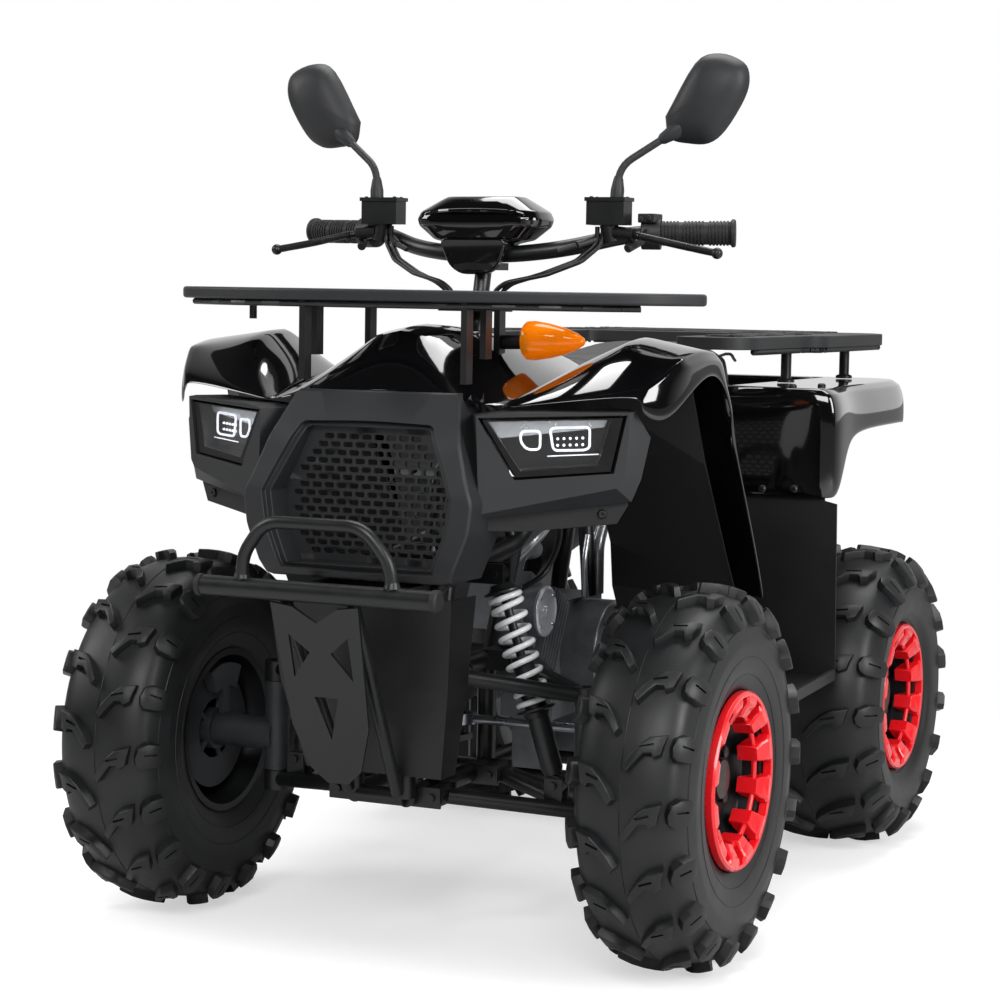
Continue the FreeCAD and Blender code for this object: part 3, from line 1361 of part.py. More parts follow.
def rear_fender():
    """Rear body: deck beside and behind the seat, with the arches over the wheels."""
    rail_top = dim.seat_rail_height + dim.frame_tube_radius + dim.seat_gap
    drop = V(0, 0, -dim.panel)
    top = dim.rear_deck_height
    flange = rail_top + dim.panel + 1
    stations = (
        (150, (102, flange), (140, 650), (196, top), (322, top - 2), (360, 662), (366, 544)),
        (300, (102, flange), (140, 650), (190, top), (306, top), (338, 672), (344, 560)),
        (441, (102, flange), (140, 660), (190, top), (300, top), (338, 690), (344, 625)),
        (446, (0, flange), (140, 660), (190, top), (300, top), (338, 690), (344, 626)),
        (640, (0, rail_top + 24), (140, 680), (190, top), (292, top), (330, 690), (338, 636)),
        (718, (0, rail_top + 40), (140, 688), (190, 692), (262, 690), (296, 674), (302, 628)),
    )
    sections = []
    for y, *spots in stations:
        points = [V(x, y, z) for x, z in spots]
        back = [point + drop for point in reversed(points[:4])]
        side = [points[5] + V(-4, 0, 0), points[4] + V(-4, 0, -3)]
        sections.append(points + side + back)
    shell = loft(sections)
    wall = ((154, 546), (366, 544), (360, 662), (322, top - 2), (196, top), (154, 662))
    front = plate([V(x, 150, z) for x, z in wall], V(0, dim.panel, 0))
    half = shell.fuse(front)
    return half.fuse(mirrored(half))


keep("rear_fender", rear_fender())


def seat():
    """Closed cushion between the hood and the rear deck."""
    base = dim.seat_rail_height + dim.frame_tube_radius + dim.seat_gap

    def section(y, half, top):
        return [V(-0.74 * half, y, base), V(0.74 * half, y, base), V(half, y, base + 45),
                V(0.86 * half, y, top - 12), V(0.5 * half, y, top), V(-0.5 * half, y, top),
                V(-0.86 * half, y, top - 12), V(-half, y, base + 45)]

    half = dim.seat_half_width
    front = -dim.seat_front
    run = dim.seat_length
    return loft([section(front, 0.78 * half, dim.seat_height + 2),
                 section(front + 0.20 * run, 0.84 * half, dim.seat_height - 4),
                 section(front + 0.48 * run, half, dim.seat_height),
                 section(front + 0.84 * run, half, dim.seat_height + 22),
                 section(front + run, 0.9 * half, dim.seat_height + 10)])


keep("seat", seat())


def front_rack():
    """Front rack: bowed slab with slots on four legs and one lashing peg."""
    half = dim.rack_half_width
    low = dim.rack_height - dim.rack_thickness / 2
    left = [(0, -562), (120, -556), (232, -532), (322, -484), (half - 4, -420), (half, -398),
            (half - 12, -384), (300, -366), (140, -346), (0, -342)]
    right = [(-x, y) for x, y in reversed(left[1:-1])]
    slab = top_plate(left + right, low, dim.rack_thickness)
    for x in (24, 134, 206):
        slot = top_plate([(x, -524 + x / 8), (x + 50, -520 + x / 6), (x + 50, -386), (x, -384)], low - 1,
                         dim.rack_thickness + 2)
        slab = slab.cut(slot).cut(mirrored(slot))
    lip = top_plate([(0, -562), (120, -556), (232, -532), (322, -484), (316, -471), (228, -517), (118, -541),
                     (0, -547)], low - dim.rack_lip, dim.rack_lip + 1)
    solids = [slab, lip, mirrored(lip)]
    space = hood_space()
    for x, y in ((112, -542), (118, -500), (92, -404)):
        leg = block(V(x - 4, y - 9, 690), V(x + 4, y + 9, low + 1)).cut(space)
        solids += [leg, mirrored(leg)]
    solids.append(cylinder(V(-271, -399, low + 1), V(-271, -399, low - 26), 5))
    return welded(solids)


keep("front_rack", front_rack())


def rear_rack():
    """Rear rack: side arms along the seat and a slotted deck behind it, on four posts."""
    half = dim.rear_rack_half_width
    top = dim.rear_rack_height
    low = top - dim.rear_rack_thickness
    back = dim.tail_back
    left = [(150, 62), (236, 62), (262, 92), (262, 330), (half, 356), (half, back - 56), (half - 34, back)]
    right = [(-x, y) for x, y in reversed(left)]
    slab = top_plate(left + right + [(-150, 470), (150, 470)], low, dim.rear_rack_thickness)
    for step in range(3):
        y = 510 + 66 * step
        slab = slab.cut(top_plate([(-200, y), (200, y), (200, y + 34), (-200, y + 34)], low - 1, 40))
    for y in (110, 240, 380):
        slot = top_plate([(182, y), (228, y), (228, y + 80), (182, y + 80)], low - 1, 40)
        slab = slab.cut(slot).cut(mirrored(slot))
    solids = [slab]
    foot = dim.rear_deck_height + dim.seat_gap
    for x, y in ((228, 340), (240, 600)):
        post = block(V(x - 9, y - 9, foot), V(x + 9, y + 9, low + 1))
        solids += [post, mirrored(post)]
    return welded(solids)


keep("rear_rack", rear_rack())


def signal_lamps():
    """Turn signal on a stalk at the left of the hood, and the tail lamp below the rear rack."""
    def section(x, half, low, high):
        return [V(x, -400 - half, low), V(x, -400 + half, low),
                V(x, -400 + half, high), V(x, -400 - half, high)]

    stalk = cylinder(V(96.3, -400, 771), V(132, -400, 772), 9)
    lamp = loft([section(128, 22, 750, 796), section(150, 24, 748, 798), section(208, 8, 768, 784)])
    tail = block(V(-76, 690, 618), V(76, 714, 663))
    return Part.makeCompound([welded([stalk, lamp]), tail])


keep("signal_lamps", signal_lamps())

# Export

doc.recompute()
os.makedirs("parts", exist_ok=True)
for item in doc.Objects:
    if "Invalid" in item.State or "Error" in item.State:
        raise RuntimeError(f"{item.Label} did not recompute: {item.State}")
faulty = [piece.Label for piece in pieces if piece.Shape.isNull() or not piece.Shape.isValid()]
if faulty:
    raise RuntimeError(f"not valid: {faulty}")
for piece in pieces:
    piece.Shape.exportStep(f"parts/{piece.Label}.step")
print(len(pieces), "sub-parts written")
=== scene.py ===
"""Looks of a small quad bike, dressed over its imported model.

Lengths are in metres in the model's own frame: the front faces -Y, the rider's
left is +X, +Z is up and the ground is at zero. Outlines are written in
millimetres and turned into metres by mm().
"""

import json
import logging
import math
from bisect import bisect_left
from dataclasses import dataclass
from enum import Enum

import bmesh
import bpy
from mathutils import Matrix, Vector, geometry

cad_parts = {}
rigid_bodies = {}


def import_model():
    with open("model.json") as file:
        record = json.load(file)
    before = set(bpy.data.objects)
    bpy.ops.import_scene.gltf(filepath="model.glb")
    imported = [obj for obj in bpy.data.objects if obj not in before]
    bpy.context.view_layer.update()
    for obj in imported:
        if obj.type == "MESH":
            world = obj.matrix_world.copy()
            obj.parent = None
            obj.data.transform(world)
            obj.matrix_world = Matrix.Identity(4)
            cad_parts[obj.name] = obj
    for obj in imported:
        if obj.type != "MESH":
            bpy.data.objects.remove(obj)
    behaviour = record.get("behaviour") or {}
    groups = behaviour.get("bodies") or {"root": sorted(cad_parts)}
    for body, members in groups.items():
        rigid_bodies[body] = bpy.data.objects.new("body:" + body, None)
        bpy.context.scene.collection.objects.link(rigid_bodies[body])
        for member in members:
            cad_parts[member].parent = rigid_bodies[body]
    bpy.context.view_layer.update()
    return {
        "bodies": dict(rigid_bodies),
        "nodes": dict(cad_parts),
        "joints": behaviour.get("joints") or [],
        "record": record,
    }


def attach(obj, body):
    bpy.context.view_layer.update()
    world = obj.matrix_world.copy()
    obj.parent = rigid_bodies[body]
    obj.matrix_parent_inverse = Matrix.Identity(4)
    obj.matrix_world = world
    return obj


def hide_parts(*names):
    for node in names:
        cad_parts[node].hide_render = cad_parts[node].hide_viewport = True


LOG = logging.getLogger("quad_bike")
MM = 0.001
FULL_TURN = 2 * math.pi


class Body(Enum):
    """The moving bodies that pieces ride on."""

    CHASSIS = "chassis"
    STEERING = "steering"
    WHEEL_FRONT_LEFT = "wheel_front_left"
    WHEEL_FRONT_RIGHT = "wheel_front_right"
    REAR_AXLE = "rear_axle"


def mm(x: float, y: float, z: float) -> Vector:
    """A point or direction given in millimetres, in metres."""
    return Vector((x, y, z)) * MM


def linear(code: str) -> tuple:
    """Turns an sRGB hex colour into linear RGBA.

    Args:
        code: colour such as "#1A1A1C".

    Returns:
        Four linear values, the last one opaque.
    """
    values = [int(code[start:start + 2], 16) / 255 for start in (1, 3, 5)]
    return tuple(v / 12.92 if v <= 0.04045 else ((v + 0.055) / 1.055) ** 2.4 for v in values) + (1.0,)


def add_node(tree: bpy.types.NodeTree, kind: str, inputs: dict | None = None, links: dict | None = None,
             **settings: object) -> bpy.types.Node:
    """Adds one shader node.

    Args:
        tree: the material's node tree.
        kind: the node's type.
        inputs: plain values by socket name.
        links: output sockets by the name or number of the socket that they feed.
        settings: the node's own properties.

    Returns:
        The new node.
    """
    node = tree.nodes.new(kind)
    for name, value in settings.items():
        setattr(node, name, value)
    for name, value in (inputs or {}).items():
        node.inputs[name].default_value = value
    for name, source in (links or {}).items():
        tree.links.new(source, node.inputs[name])
    return node


@dataclass(frozen=True)
class Finish:
    """What every finish has: its name, colour and base values."""

    name: str
    colour: str
    roughness: float
    metallic: float = 0.0
    ior: float = 1.5
    coat: float = 0.0

    def build(self) -> bpy.types.Material:
        """Makes the material.

        Returns:
            The material, with the pattern that dress() adds.
        """
        material = bpy.data.materials.new(self.name)
        material.use_nodes = True
        tree = material.node_tree
        shader = next(node for node in tree.nodes if node.type == "BSDF_PRINCIPLED")
        shader.inputs["Base Color"].default_value = linear(self.colour)
        shader.inputs["Roughness"].default_value = self.roughness
        shader.inputs["Metallic"].default_value = self.metallic
        shader.inputs["IOR"].default_value = self.ior
        shader.inputs["Coat Weight"].default_value = self.coat
        shader.inputs["Coat Roughness"].default_value = 0.04
        self.dress(tree, shader)
        return material

    def dress(self, tree: bpy.types.NodeTree, shader: bpy.types.Node) -> None:
        """Adds the finish's pattern, which each kind of finish defines.

        Args:
            tree: the material's node tree.
            shader: its surface shader.
        """


def cycles_per_metre(size_mm: float) -> float:
    """The texture scale that gives features of about size_mm."""
    return 1000 / size_mm


@dataclass(frozen=True)
class Mottled(Finish):
    """A finish whose tone and roughness drift, over a fine bumpy grain."""

    tone: str = "#202022"
    tone_mm: float = 60.0
    grain_mm: float = 1.5
    grain_depth_mm: float = 0.05
    rough_low: float = 0.4
    rough_high: float = 0.6

    def dress(self, tree: bpy.types.NodeTree, shader: bpy.types.Node) -> None:
        """Drives colour and roughness by a soft noise and the bump by a fine one.

        Args:
            tree: the material's node tree.
            shader: its surface shader.
        """
        place = add_node(tree, "ShaderNodeTexCoord").outputs["Object"]
        drift = add_node(tree, "ShaderNodeTexNoise", {"Scale": cycles_per_metre(self.tone_mm), "Detail": 4.0},
                         {"Vector": place})
        tone = add_node(tree, "ShaderNodeMix", {"A": linear(self.colour), "B": linear(self.tone)},
                        {"Factor": drift.outputs["Fac"]}, data_type="RGBA")
        rough = add_node(tree, "ShaderNodeMapRange", {"To Min": self.rough_low, "To Max": self.rough_high},
                         {"Value": drift.outputs["Fac"]})
        bump = self.grain(tree, place)
        tree.links.new(next(out for out in tone.outputs if out.type == "RGBA"), shader.inputs["Base Color"])
        tree.links.new(rough.outputs["Result"], shader.inputs["Roughness"])
        tree.links.new(bump.outputs["Normal"], shader.inputs["Normal"])

    def grain(self, tree: bpy.types.NodeTree, place: bpy.types.NodeSocket) -> bpy.types.Node:
        """Adds the fine bump, here a rounded noise such as orange peel or sand casting.

        Args:
            tree: the material's node tree.
            place: the place on the piece.

        Returns:
            The bump node.
        """
        fine = add_node(tree, "ShaderNodeTexNoise", {"Scale": cycles_per_metre(self.grain_mm), "Detail": 2.0},
                        {"Vector": place})
        return add_node(tree, "ShaderNodeBump", {"Strength": 0.6, "Distance": self.grain_depth_mm * MM},
                        {"Height": fine.outputs["Fac"]})


@dataclass(frozen=True)
class Pebbled(Mottled):
    """A mottled finish whose grain is pebbles with creases between them, such as vinyl or etched plastic."""

    def grain(self, tree: bpy.types.NodeTree, place: bpy.types.NodeSocket) -> bpy.types.Node:
        """Adds rounded cells with creases between them.

        Args:
            tree: the material's node tree.
            place: the place on the piece.

        Returns:
            The bump node.
        """
        cells = add_node(tree, "ShaderNodeTexVoronoi", {"Scale": cycles_per_metre(self.grain_mm)},
                         {"Vector": place}, feature="SMOOTH_F1")
        return add_node(tree, "ShaderNodeBump", {"Strength": 0.7, "Distance": self.grain_depth_mm * MM},
                        {"Height": cells.outputs["Distance"]}, invert=True)


@dataclass(frozen=True)
class Brushed(Mottled):
    """A metal with fine parallel marks along one axis."""

    along: tuple = (0.02, 1.0, 1.0)

    def grain(self, tree: bpy.types.NodeTree, place: bpy.types.NodeSocket) -> bpy.types.Node:
        """Adds a noise drawn out along the marks.

        Args:
            tree: the material's node tree.
            place: the place on the piece.

        Returns:
            The bump node.
        """
        drawn = add_node(tree, "ShaderNodeMapping", {"Scale": self.along}, {"Vector": place})
        marks = add_node(tree, "ShaderNodeTexNoise",
                         {"Scale": cycles_per_metre(self.grain_mm), "Detail": 3.0},
                         {"Vector": drawn.outputs["Vector"]})
        return add_node(tree, "ShaderNodeBump", {"Strength": 0.5, "Distance": self.grain_depth_mm * MM},
                        {"Height": marks.outputs["Fac"]})


@dataclass(frozen=True)
class Clear(Finish):
    """A clear or tinted plastic lens with fine vertical flutes."""

    flute_mm: float = 6.0
    clarity: float = 1.0
    glow: float = 0.0

    def dress(self, tree: bpy.types.NodeTree, shader: bpy.types.Node) -> None:
        """Lets light through and ribs the surface.

        Args:
            tree: the material's node tree.
            shader: its surface shader.
        """
        shader.inputs["Transmission Weight"].default_value = self.clarity
        shader.inputs["Emission Color"].default_value = linear(self.colour)
        shader.inputs["Emission Strength"].default_value = self.glow
        place = add_node(tree, "ShaderNodeTexCoord").outputs["Object"]
        flutes = add_node(tree, "ShaderNodeTexWave", {"Scale": cycles_per_metre(self.flute_mm) / FULL_TURN},
                          {"Vector": place}, bands_direction="X")
        bump = add_node(tree, "ShaderNodeBump", {"Strength": 0.3, "Distance": 0.2 * MM},
                        {"Height": flutes.outputs["Fac"]})
        tree.links.new(bump.outputs["Normal"], shader.inputs["Normal"])


@dataclass(frozen=True)
class Glowing(Finish):
    """A light guide that shows white by day."""

    strength: float = 1.0

    def dress(self, tree: bpy.types.NodeTree, shader: bpy.types.Node) -> None:
        """Adds the glow in the finish's own colour.

        Args:
            tree: the material's node tree.
            shader: its surface shader.
        """
        shader.inputs["Emission Color"].default_value = linear(self.colour)
        shader.inputs["Emission Strength"].default_value = self.strength


# Tyre rubber, moulded: a deep grey black with a soft sheen and a faint bloom
RUBBER = Mottled("moulded_tyre_rubber", "#0D0E0F", 0.46, tone="#191A1C", tone_mm=45, grain_mm=2.2,
                 grain_depth_mm=0.12, rough_low=0.36, rough_high=0.56)
# Polypropylene from an etched mould: dark grey with a pebbled, dull surface
ETCHED = Pebbled("etched_polypropylene", "#1B1C1E", 0.55, tone="#242527", tone_mm=80, grain_mm=1.1,
                 grain_depth_mm=0.07, rough_low=0.46, rough_high=0.6)
# Plain polypropylene of the liners and guards: near black of its own and dull, darkened further as painted
# shade for parts that sit in shadow
LINER_WITH_PAINTED_SHADE = Pebbled("plain_polypropylene_with_painted_shade", "#0A0A0B", 0.5, tone="#111113", tone_mm=70, grain_mm=1.4,
                grain_depth_mm=0.05, rough_low=0.4, rough_high=0.58)
# Lacquered ABS: piano black with a clear coat and a trace of orange peel
LACQUER = Mottled("lacquered_abs", "#050506", 0.08, coat=1.0, tone="#09090B", tone_mm=120, grain_mm=9,
                  grain_depth_mm=0.02, rough_low=0.05, rough_high=0.11)
# Powder coated steel tube: satin black with a fine orange peel
POWDER = Mottled("powder_coated_steel", "#0E0F10", 0.38, tone="#17181A", tone_mm=30, grain_mm=1.6,
                 grain_depth_mm=0.04, rough_low=0.3, rough_high=0.46)
# Red enamel on the wheel rings: bright and glossy
RED_ENAMEL = Mottled("red_enamel", "#F2141F", 0.28, coat=0.5, tone="#E00F1A", tone_mm=25, grain_mm=2.5,
                     grain_depth_mm=0.03, rough_low=0.22, rough_high=0.36)
# White enamel on the spring wire
WHITE_ENAMEL = Mottled("white_enamel", "#E9EAEC", 0.25, coat=0.4, tone="#D4D6D9", tone_mm=18, grain_mm=2,
                       grain_depth_mm=0.02, rough_low=0.18, rough_high=0.32)
# Die cast aluminium of the engine's covers: pale grey, sandy, dull
CAST = Mottled("die_cast_aluminium", "#77797D", 0.42, metallic=0.4, tone="#55575B", tone_mm=22,
               grain_mm=1.2, grain_depth_mm=0.08, rough_low=0.34, rough_high=0.52)
# Machined aluminium faces on the engine: bright, with fine turning marks
MACHINED = Brushed("machined_aluminium", "#D5D7DB", 0.3, metallic=0.7, tone="#B4B7BC", tone_mm=10,
                   grain_mm=0.5, grain_depth_mm=0.01, rough_low=0.24, rough_high=0.36)
# Cast iron with dark paint: knuckles and hubs
DARK_CAST = Mottled("painted_cast_iron", "#232427", 0.5, tone="#34363A", tone_mm=15, grain_mm=1.4,
                    grain_depth_mm=0.09, rough_low=0.4, rough_high=0.58)
# Zinc plated steel: rods, axle, screws and chain
ZINC = Brushed("zinc_plated_steel", "#B4B7BC", 0.3, metallic=1.0, tone="#9A9DA3", tone_mm=12, grain_mm=0.6,
               grain_depth_mm=0.01, rough_low=0.22, rough_high=0.36)
# High temperature paint on the silencer: chalky black
HEAT_PAINT = Mottled("high_temperature_paint", "#19191A", 0.7, tone="#2A2928", tone_mm=20, grain_mm=0.9,
                     grain_depth_mm=0.06, rough_low=0.6, rough_high=0.78)
# Grip rubber: soft and dull
GRIP = Mottled("soft_grip_rubber", "#131314", 0.62, tone="#1E1E20", tone_mm=14, grain_mm=0.8,
               grain_depth_mm=0.05, rough_low=0.55, rough_high=0.7)
# Polyvinyl sheath of the cables: smooth black with a soft shine
SHEATH = Mottled("polyvinyl_sheath", "#0C0C0D", 0.4, tone="#161617", tone_mm=10, grain_mm=3,
                 grain_depth_mm=0.02, rough_low=0.34, rough_high=0.46)
# Seat vinyl: black with a leather grain
VINYL = Pebbled("embossed_vinyl", "#151516", 0.5, tone="#1E1E20", tone_mm=60, grain_mm=1.8,
                grain_depth_mm=0.12, rough_low=0.42, rough_high=0.56)
# Dark glossy plastic inside the lamps
LAMP_BLACK = Mottled("lamp_bezel_plastic", "#050506", 0.3, tone="#0A0A0B", tone_mm=30, grain_mm=1.2,
                     grain_depth_mm=0.02, rough_low=0.24, rough_high=0.36)
# Vacuum metallised reflectors: bright, nearly a mirror
REFLECTOR = Brushed("metallised_reflector", "#E6E9EC", 0.25, metallic=0.55, tone="#C3C7CC", tone_mm=14,
                    grain_mm=1.5, grain_depth_mm=0.03, rough_low=0.18, rough_high=0.32)
# Clear polycarbonate of the headlamps
LENS = Clear("clear_polycarbonate", "#FFFFFF", 0.02, ior=1.58, flute_mm=40)
# Amber acrylic of the turn signal: deep orange with fine ribs
AMBER = Clear("amber_acrylic", "#FF8C0A", 0.08, ior=1.49, flute_mm=5, clarity=0.2, glow=0.22)
# Red acrylic of the tail lamp
TAIL_RED = Clear("red_acrylic", "#B80E12", 0.08, ior=1.49, flute_mm=8, clarity=0.3)
# White light guides
LIGHT_GUIDE = Glowing("light_guide", "#F4F8FF", 0.3, strength=0.9)
# Silvered glass of the mirrors
MIRROR = Mottled("silvered_glass", "#E6E8EA", 0.02, metallic=1.0, tone="#DCDFE1", tone_mm=50, grain_mm=20,
                 grain_depth_mm=0.005, rough_low=0.01, rough_high=0.04)
# Dark display window of the dash
DISPLAY = Mottled("tinted_display_window", "#08090B", 0.05, coat=1.0, tone="#0D0F13", tone_mm=40, grain_mm=12,
                  grain_depth_mm=0.01, rough_low=0.03, rough_high=0.08)


class Wardrobe:
    """Builds each material once and hands it out."""

    def __init__(self) -> None:
        """Starts with no material built."""
        self.made = {}

    def material(self, finish: Finish) -> bpy.types.Material:
        """Finds the material of a finish, and builds it the first time.

        Args:
            finish: the finish.

        Returns:
            Its material.
        """
        if finish.name not in self.made:
            self.made[finish.name] = finish.build()
        return self.made[finish.name]


WARDROBE = Wardrobe()


def rounded_path(points: list, bend: float, steps: int = 6) -> list:
    """Rounds the corners of a path.

    Args:
        points: the corners, in metres.
        bend: how far each corner is cut back along its two runs.
        steps: pieces in each rounded corner.

    Returns:
        The points of the rounded path.
    """
    path = [points[0]]
    for before, corner, after in zip(points, points[1:], points[2:]):
        reach = min(bend, 0.48 * (corner - before).length, 0.48 * (after - corner).length)
        start = corner + (before - corner).normalized() * reach
        end = corner + (after - corner).normalized() * reach
        for step in range(steps + 1):
            share = step / steps
            path.append(start.lerp(corner, share).lerp(corner.lerp(end, share), share))
    return path + [points[-1]]


def rounded_loop(corners: list, bend: float, steps: int = 4) -> list:
    """Rounds all corners of a closed outline.

    Args:
        corners: the outline's corners.
        bend: how far each corner is cut back along its two sides.
        steps: pieces in each rounded corner.

    Returns:
        The points of the rounded outline.
    """
    return rounded_path(corners[-1:] + corners + corners[:1], bend, steps)[1:-1]


def smooth_curve(corners: list, steps: int = 4) -> list:
    """A smooth curve through its corners, by Catmull and Rom's rule.

    Args:
        corners: the points that the curve goes through.
        steps: pieces between two corners.

    Returns:
        The curve's points, its two ends among them.
    """
    padded = [corners[0] * 2 - corners[1]] + corners + [corners[-1] * 2 - corners[-2]]
    points = []
    for a, b, c, d in zip(padded, padded[1:], padded[2:], padded[3:]):
        for step in range(steps):
            t = step / steps
            points.append(0.5 * (2 * b + (c - a) * t + (2 * a - 5 * b + 4 * c - d) * t ** 2
                                 + (3 * b - a - 3 * c + d) * t ** 3))
    return points + [corners[-1]]


def mirrored(points: list) -> list:
    """The mirror images of points on the machine's other side, in reverse order."""
    return [Vector((-point.x, point.y, point.z)) for point in reversed(points)]


def squared(share: float, power: float = 0.45) -> float:
    """Pushes a sine or cosine outwards, which makes a circle a rounded square."""
    return math.copysign(abs(share) ** power, share)


def vertices_of(made: list) -> list:
    """The vertices among what an operator made."""
    return [item for item in made if isinstance(item, bmesh.types.BMVert)]


def edges_of(made: list) -> list:
    """The edges among what an operator made."""
    return [item for item in made if isinstance(item, bmesh.types.BMEdge)]


def mark_edges(bm: bmesh.types.BMesh, crisp: float) -> None:
    """Shades a mesh smooth, with sharp edges where it turns.

    Args:
        bm: the mesh.
        crisp: edges that turn by more degrees than this are sharp.
    """
    for edge in bm.edges:
        edge.smooth = edge.calc_face_angle(0.0) < math.radians(crisp)
    for face in bm.faces:
        face.smooth = True


def bake(thing: bpy.types.Object, crisp: float) -> None:
    """Makes a piece's modifiers part of its mesh.

    Args:
        thing: the piece.
        crisp: edges that turn by more degrees than this are sharp.
    """
    graph = bpy.context.evaluated_depsgraph_get()
    mesh = bpy.data.meshes.new_from_object(thing.evaluated_get(graph))
    thing.modifiers.clear()
    bm = bmesh.new()
    bm.from_mesh(mesh)
    mark_edges(bm, crisp)
    bm.to_mesh(mesh)
    bm.free()
    thing.data = mesh


class Shape:
    """A mesh in the making, shaped by bmesh operators."""

    def __init__(self) -> None:
        """Starts with an empty mesh."""
        self.bm = bmesh.new()

    def rows(self, rows: list, closed: bool = False, caps: bool = False) -> None:
        """Extrudes a row of points through the rows that follow.

        Args:
            rows: rows with as many points each.
            closed: whether each row is a loop.
            caps: whether the first and last loops are filled.
        """
        line = [self.bm.verts.new(point) for point in rows[0]]
        pairs = list(zip(line, line[1:])) + ([(line[-1], line[0])] if closed else [])
        edges = [self.bm.edges.new(pair) for pair in pairs]
        first = line
        for row in rows[1:]:
            made = bmesh.ops.extrude_edge_only(self.bm, edges=edges)["geom"]
            fresh = set(vertices_of(made))
            edges = edges_of(made)
            follow = []
            for vertex in line:
                follow.append(next(edge.other_vert(vertex) for edge in vertex.link_edges
                                   if edge.other_vert(vertex) in fresh))
            line = follow
            for vertex, point in zip(line, row):
                vertex.co = point
        if caps:
            self.bm.faces.new(first)
            self.bm.faces.new(line)

    def tube(self, points: list, radius: float, bend: float = 0.03, sides: int = 16) -> None:
        """Adds a round bar along a path with rounded corners.

        Args:
            points: the path's corners.
            radius: the bar's radius.
            bend: how far the corners are rounded.
            sides: faces round the bar.
        """
        path = rounded_path(points, bend)
        heading = (path[1] - path[0]).normalized()
        across = heading.orthogonal().normalized()
        rows = []
        for index, point in enumerate(path):
            ahead = path[min(index + 1, len(path) - 1)] - path[max(index - 1, 0)]
            turn = heading.rotation_difference(ahead.normalized())
            across = turn @ across
            heading = ahead.normalized()
            up = heading.cross(across).normalized()
            angles = [FULL_TURN * side / sides for side in range(sides)]
            rows.append([point + (across * math.cos(a) + up * math.sin(a)) * radius for a in angles])
        self.rows(rows, closed=True, caps=True)

    def lathe(self, profile: list | tuple, centre: Vector, axis: Vector, steps: int = 48) -> None:
        """Spins a profile about an axis.

        Args:
            profile: pairs of (distance along the axis, radius), in millimetres.
            centre: the point on the axis that the distances start from.
            axis: the axis' direction.
            steps: faces round the axis.
        """
        axis = axis.normalized()
        across = axis.orthogonal().normalized()
        line = [self.bm.verts.new(centre + axis * (along * MM) + across * (out * MM))
                for along, out in profile]
        edges = [self.bm.edges.new(pair) for pair in zip(line, line[1:])]
        bmesh.ops.spin(self.bm, geom=line + edges, cent=centre, axis=axis, angle=FULL_TURN, steps=steps,
                       use_merge=True)

    def prism(self, outline: list, depth: Vector) -> None:
        """Adds a flat outline pushed through a depth.

        Args:
            outline: the outline's corners.
            depth: the push.
        """
        face = self.bm.faces.new([self.bm.verts.new(point) for point in outline])
        self.push([face], depth)

    def push(self, faces: list, depth: Vector) -> None:
        """Pushes faces through a depth, which leaves a closed body.

        Args:
            faces: the faces, which stay as its first side.
            depth: the push.
        """
        made = bmesh.ops.extrude_face_region(self.bm, geom=faces, use_keep_orig=True)["geom"]
        bmesh.ops.translate(self.bm, verts=vertices_of(made), vec=depth)

    def everything(self) -> list:
        """All vertices, edges and faces."""
        return self.bm.verts[:] + self.bm.edges[:] + self.bm.faces[:]

    def copied(self, parts: list) -> list:
        """Copies parts of the mesh and gives the copy's vertices."""
        return vertices_of(bmesh.ops.duplicate(self.bm, geom=parts)["geom"])

    def block(self, low: Vector, high: Vector) -> None:
        """Adds a box between two corners."""
        place = Matrix.LocRotScale((low + high) / 2, None, high - low)
        bmesh.ops.create_cube(self.bm, size=1.0, matrix=place)

    def both_halves(self, stations: tuple) -> None:
        """Extrudes a row through stations, given from the middle outwards and mirrored."""
        halves = [[mm(*spot) for spot in row] for row in stations]
        self.rows([mirrored(half[1:]) + half for half in halves])

    def screw(self, place: Vector, axis: Vector, radius: float) -> None:
        """Adds a round screw head with a socket; its radius is in millimetres."""
        profile = [(-0.3, 1.0), (0.3, 1.0), (0.62, 0.72), (0.66, 0.42), (0.2, 0.38), (0.2, 0.0)]
        self.lathe([(along * radius, out * radius) for along, out in profile], place, axis, 12)

    def loop_tube(self, centre: Vector, across: Vector, up: Vector, radius: float) -> None:
        """Adds a round bar along a closed, rounded rectangle.

        Args:
            centre: the rectangle's middle.
            across: half of its width, as a vector.
            up: half of its height, as a vector.
            radius: the bar's radius.
        """
        steps = 32
        path = []
        for step in range(steps + 1):
            angle = FULL_TURN * step / steps
            path.append(centre + across * squared(math.cos(angle)) + up * squared(math.sin(angle)))
        self.tube(path, radius, bend=0.0, sides=8)

    def mirror(self) -> None:
        """Adds the mirror image on the other side of the machine."""
        bmesh.ops.scale(self.bm, vec=(-1, 1, 1), verts=self.copied(self.everything()))

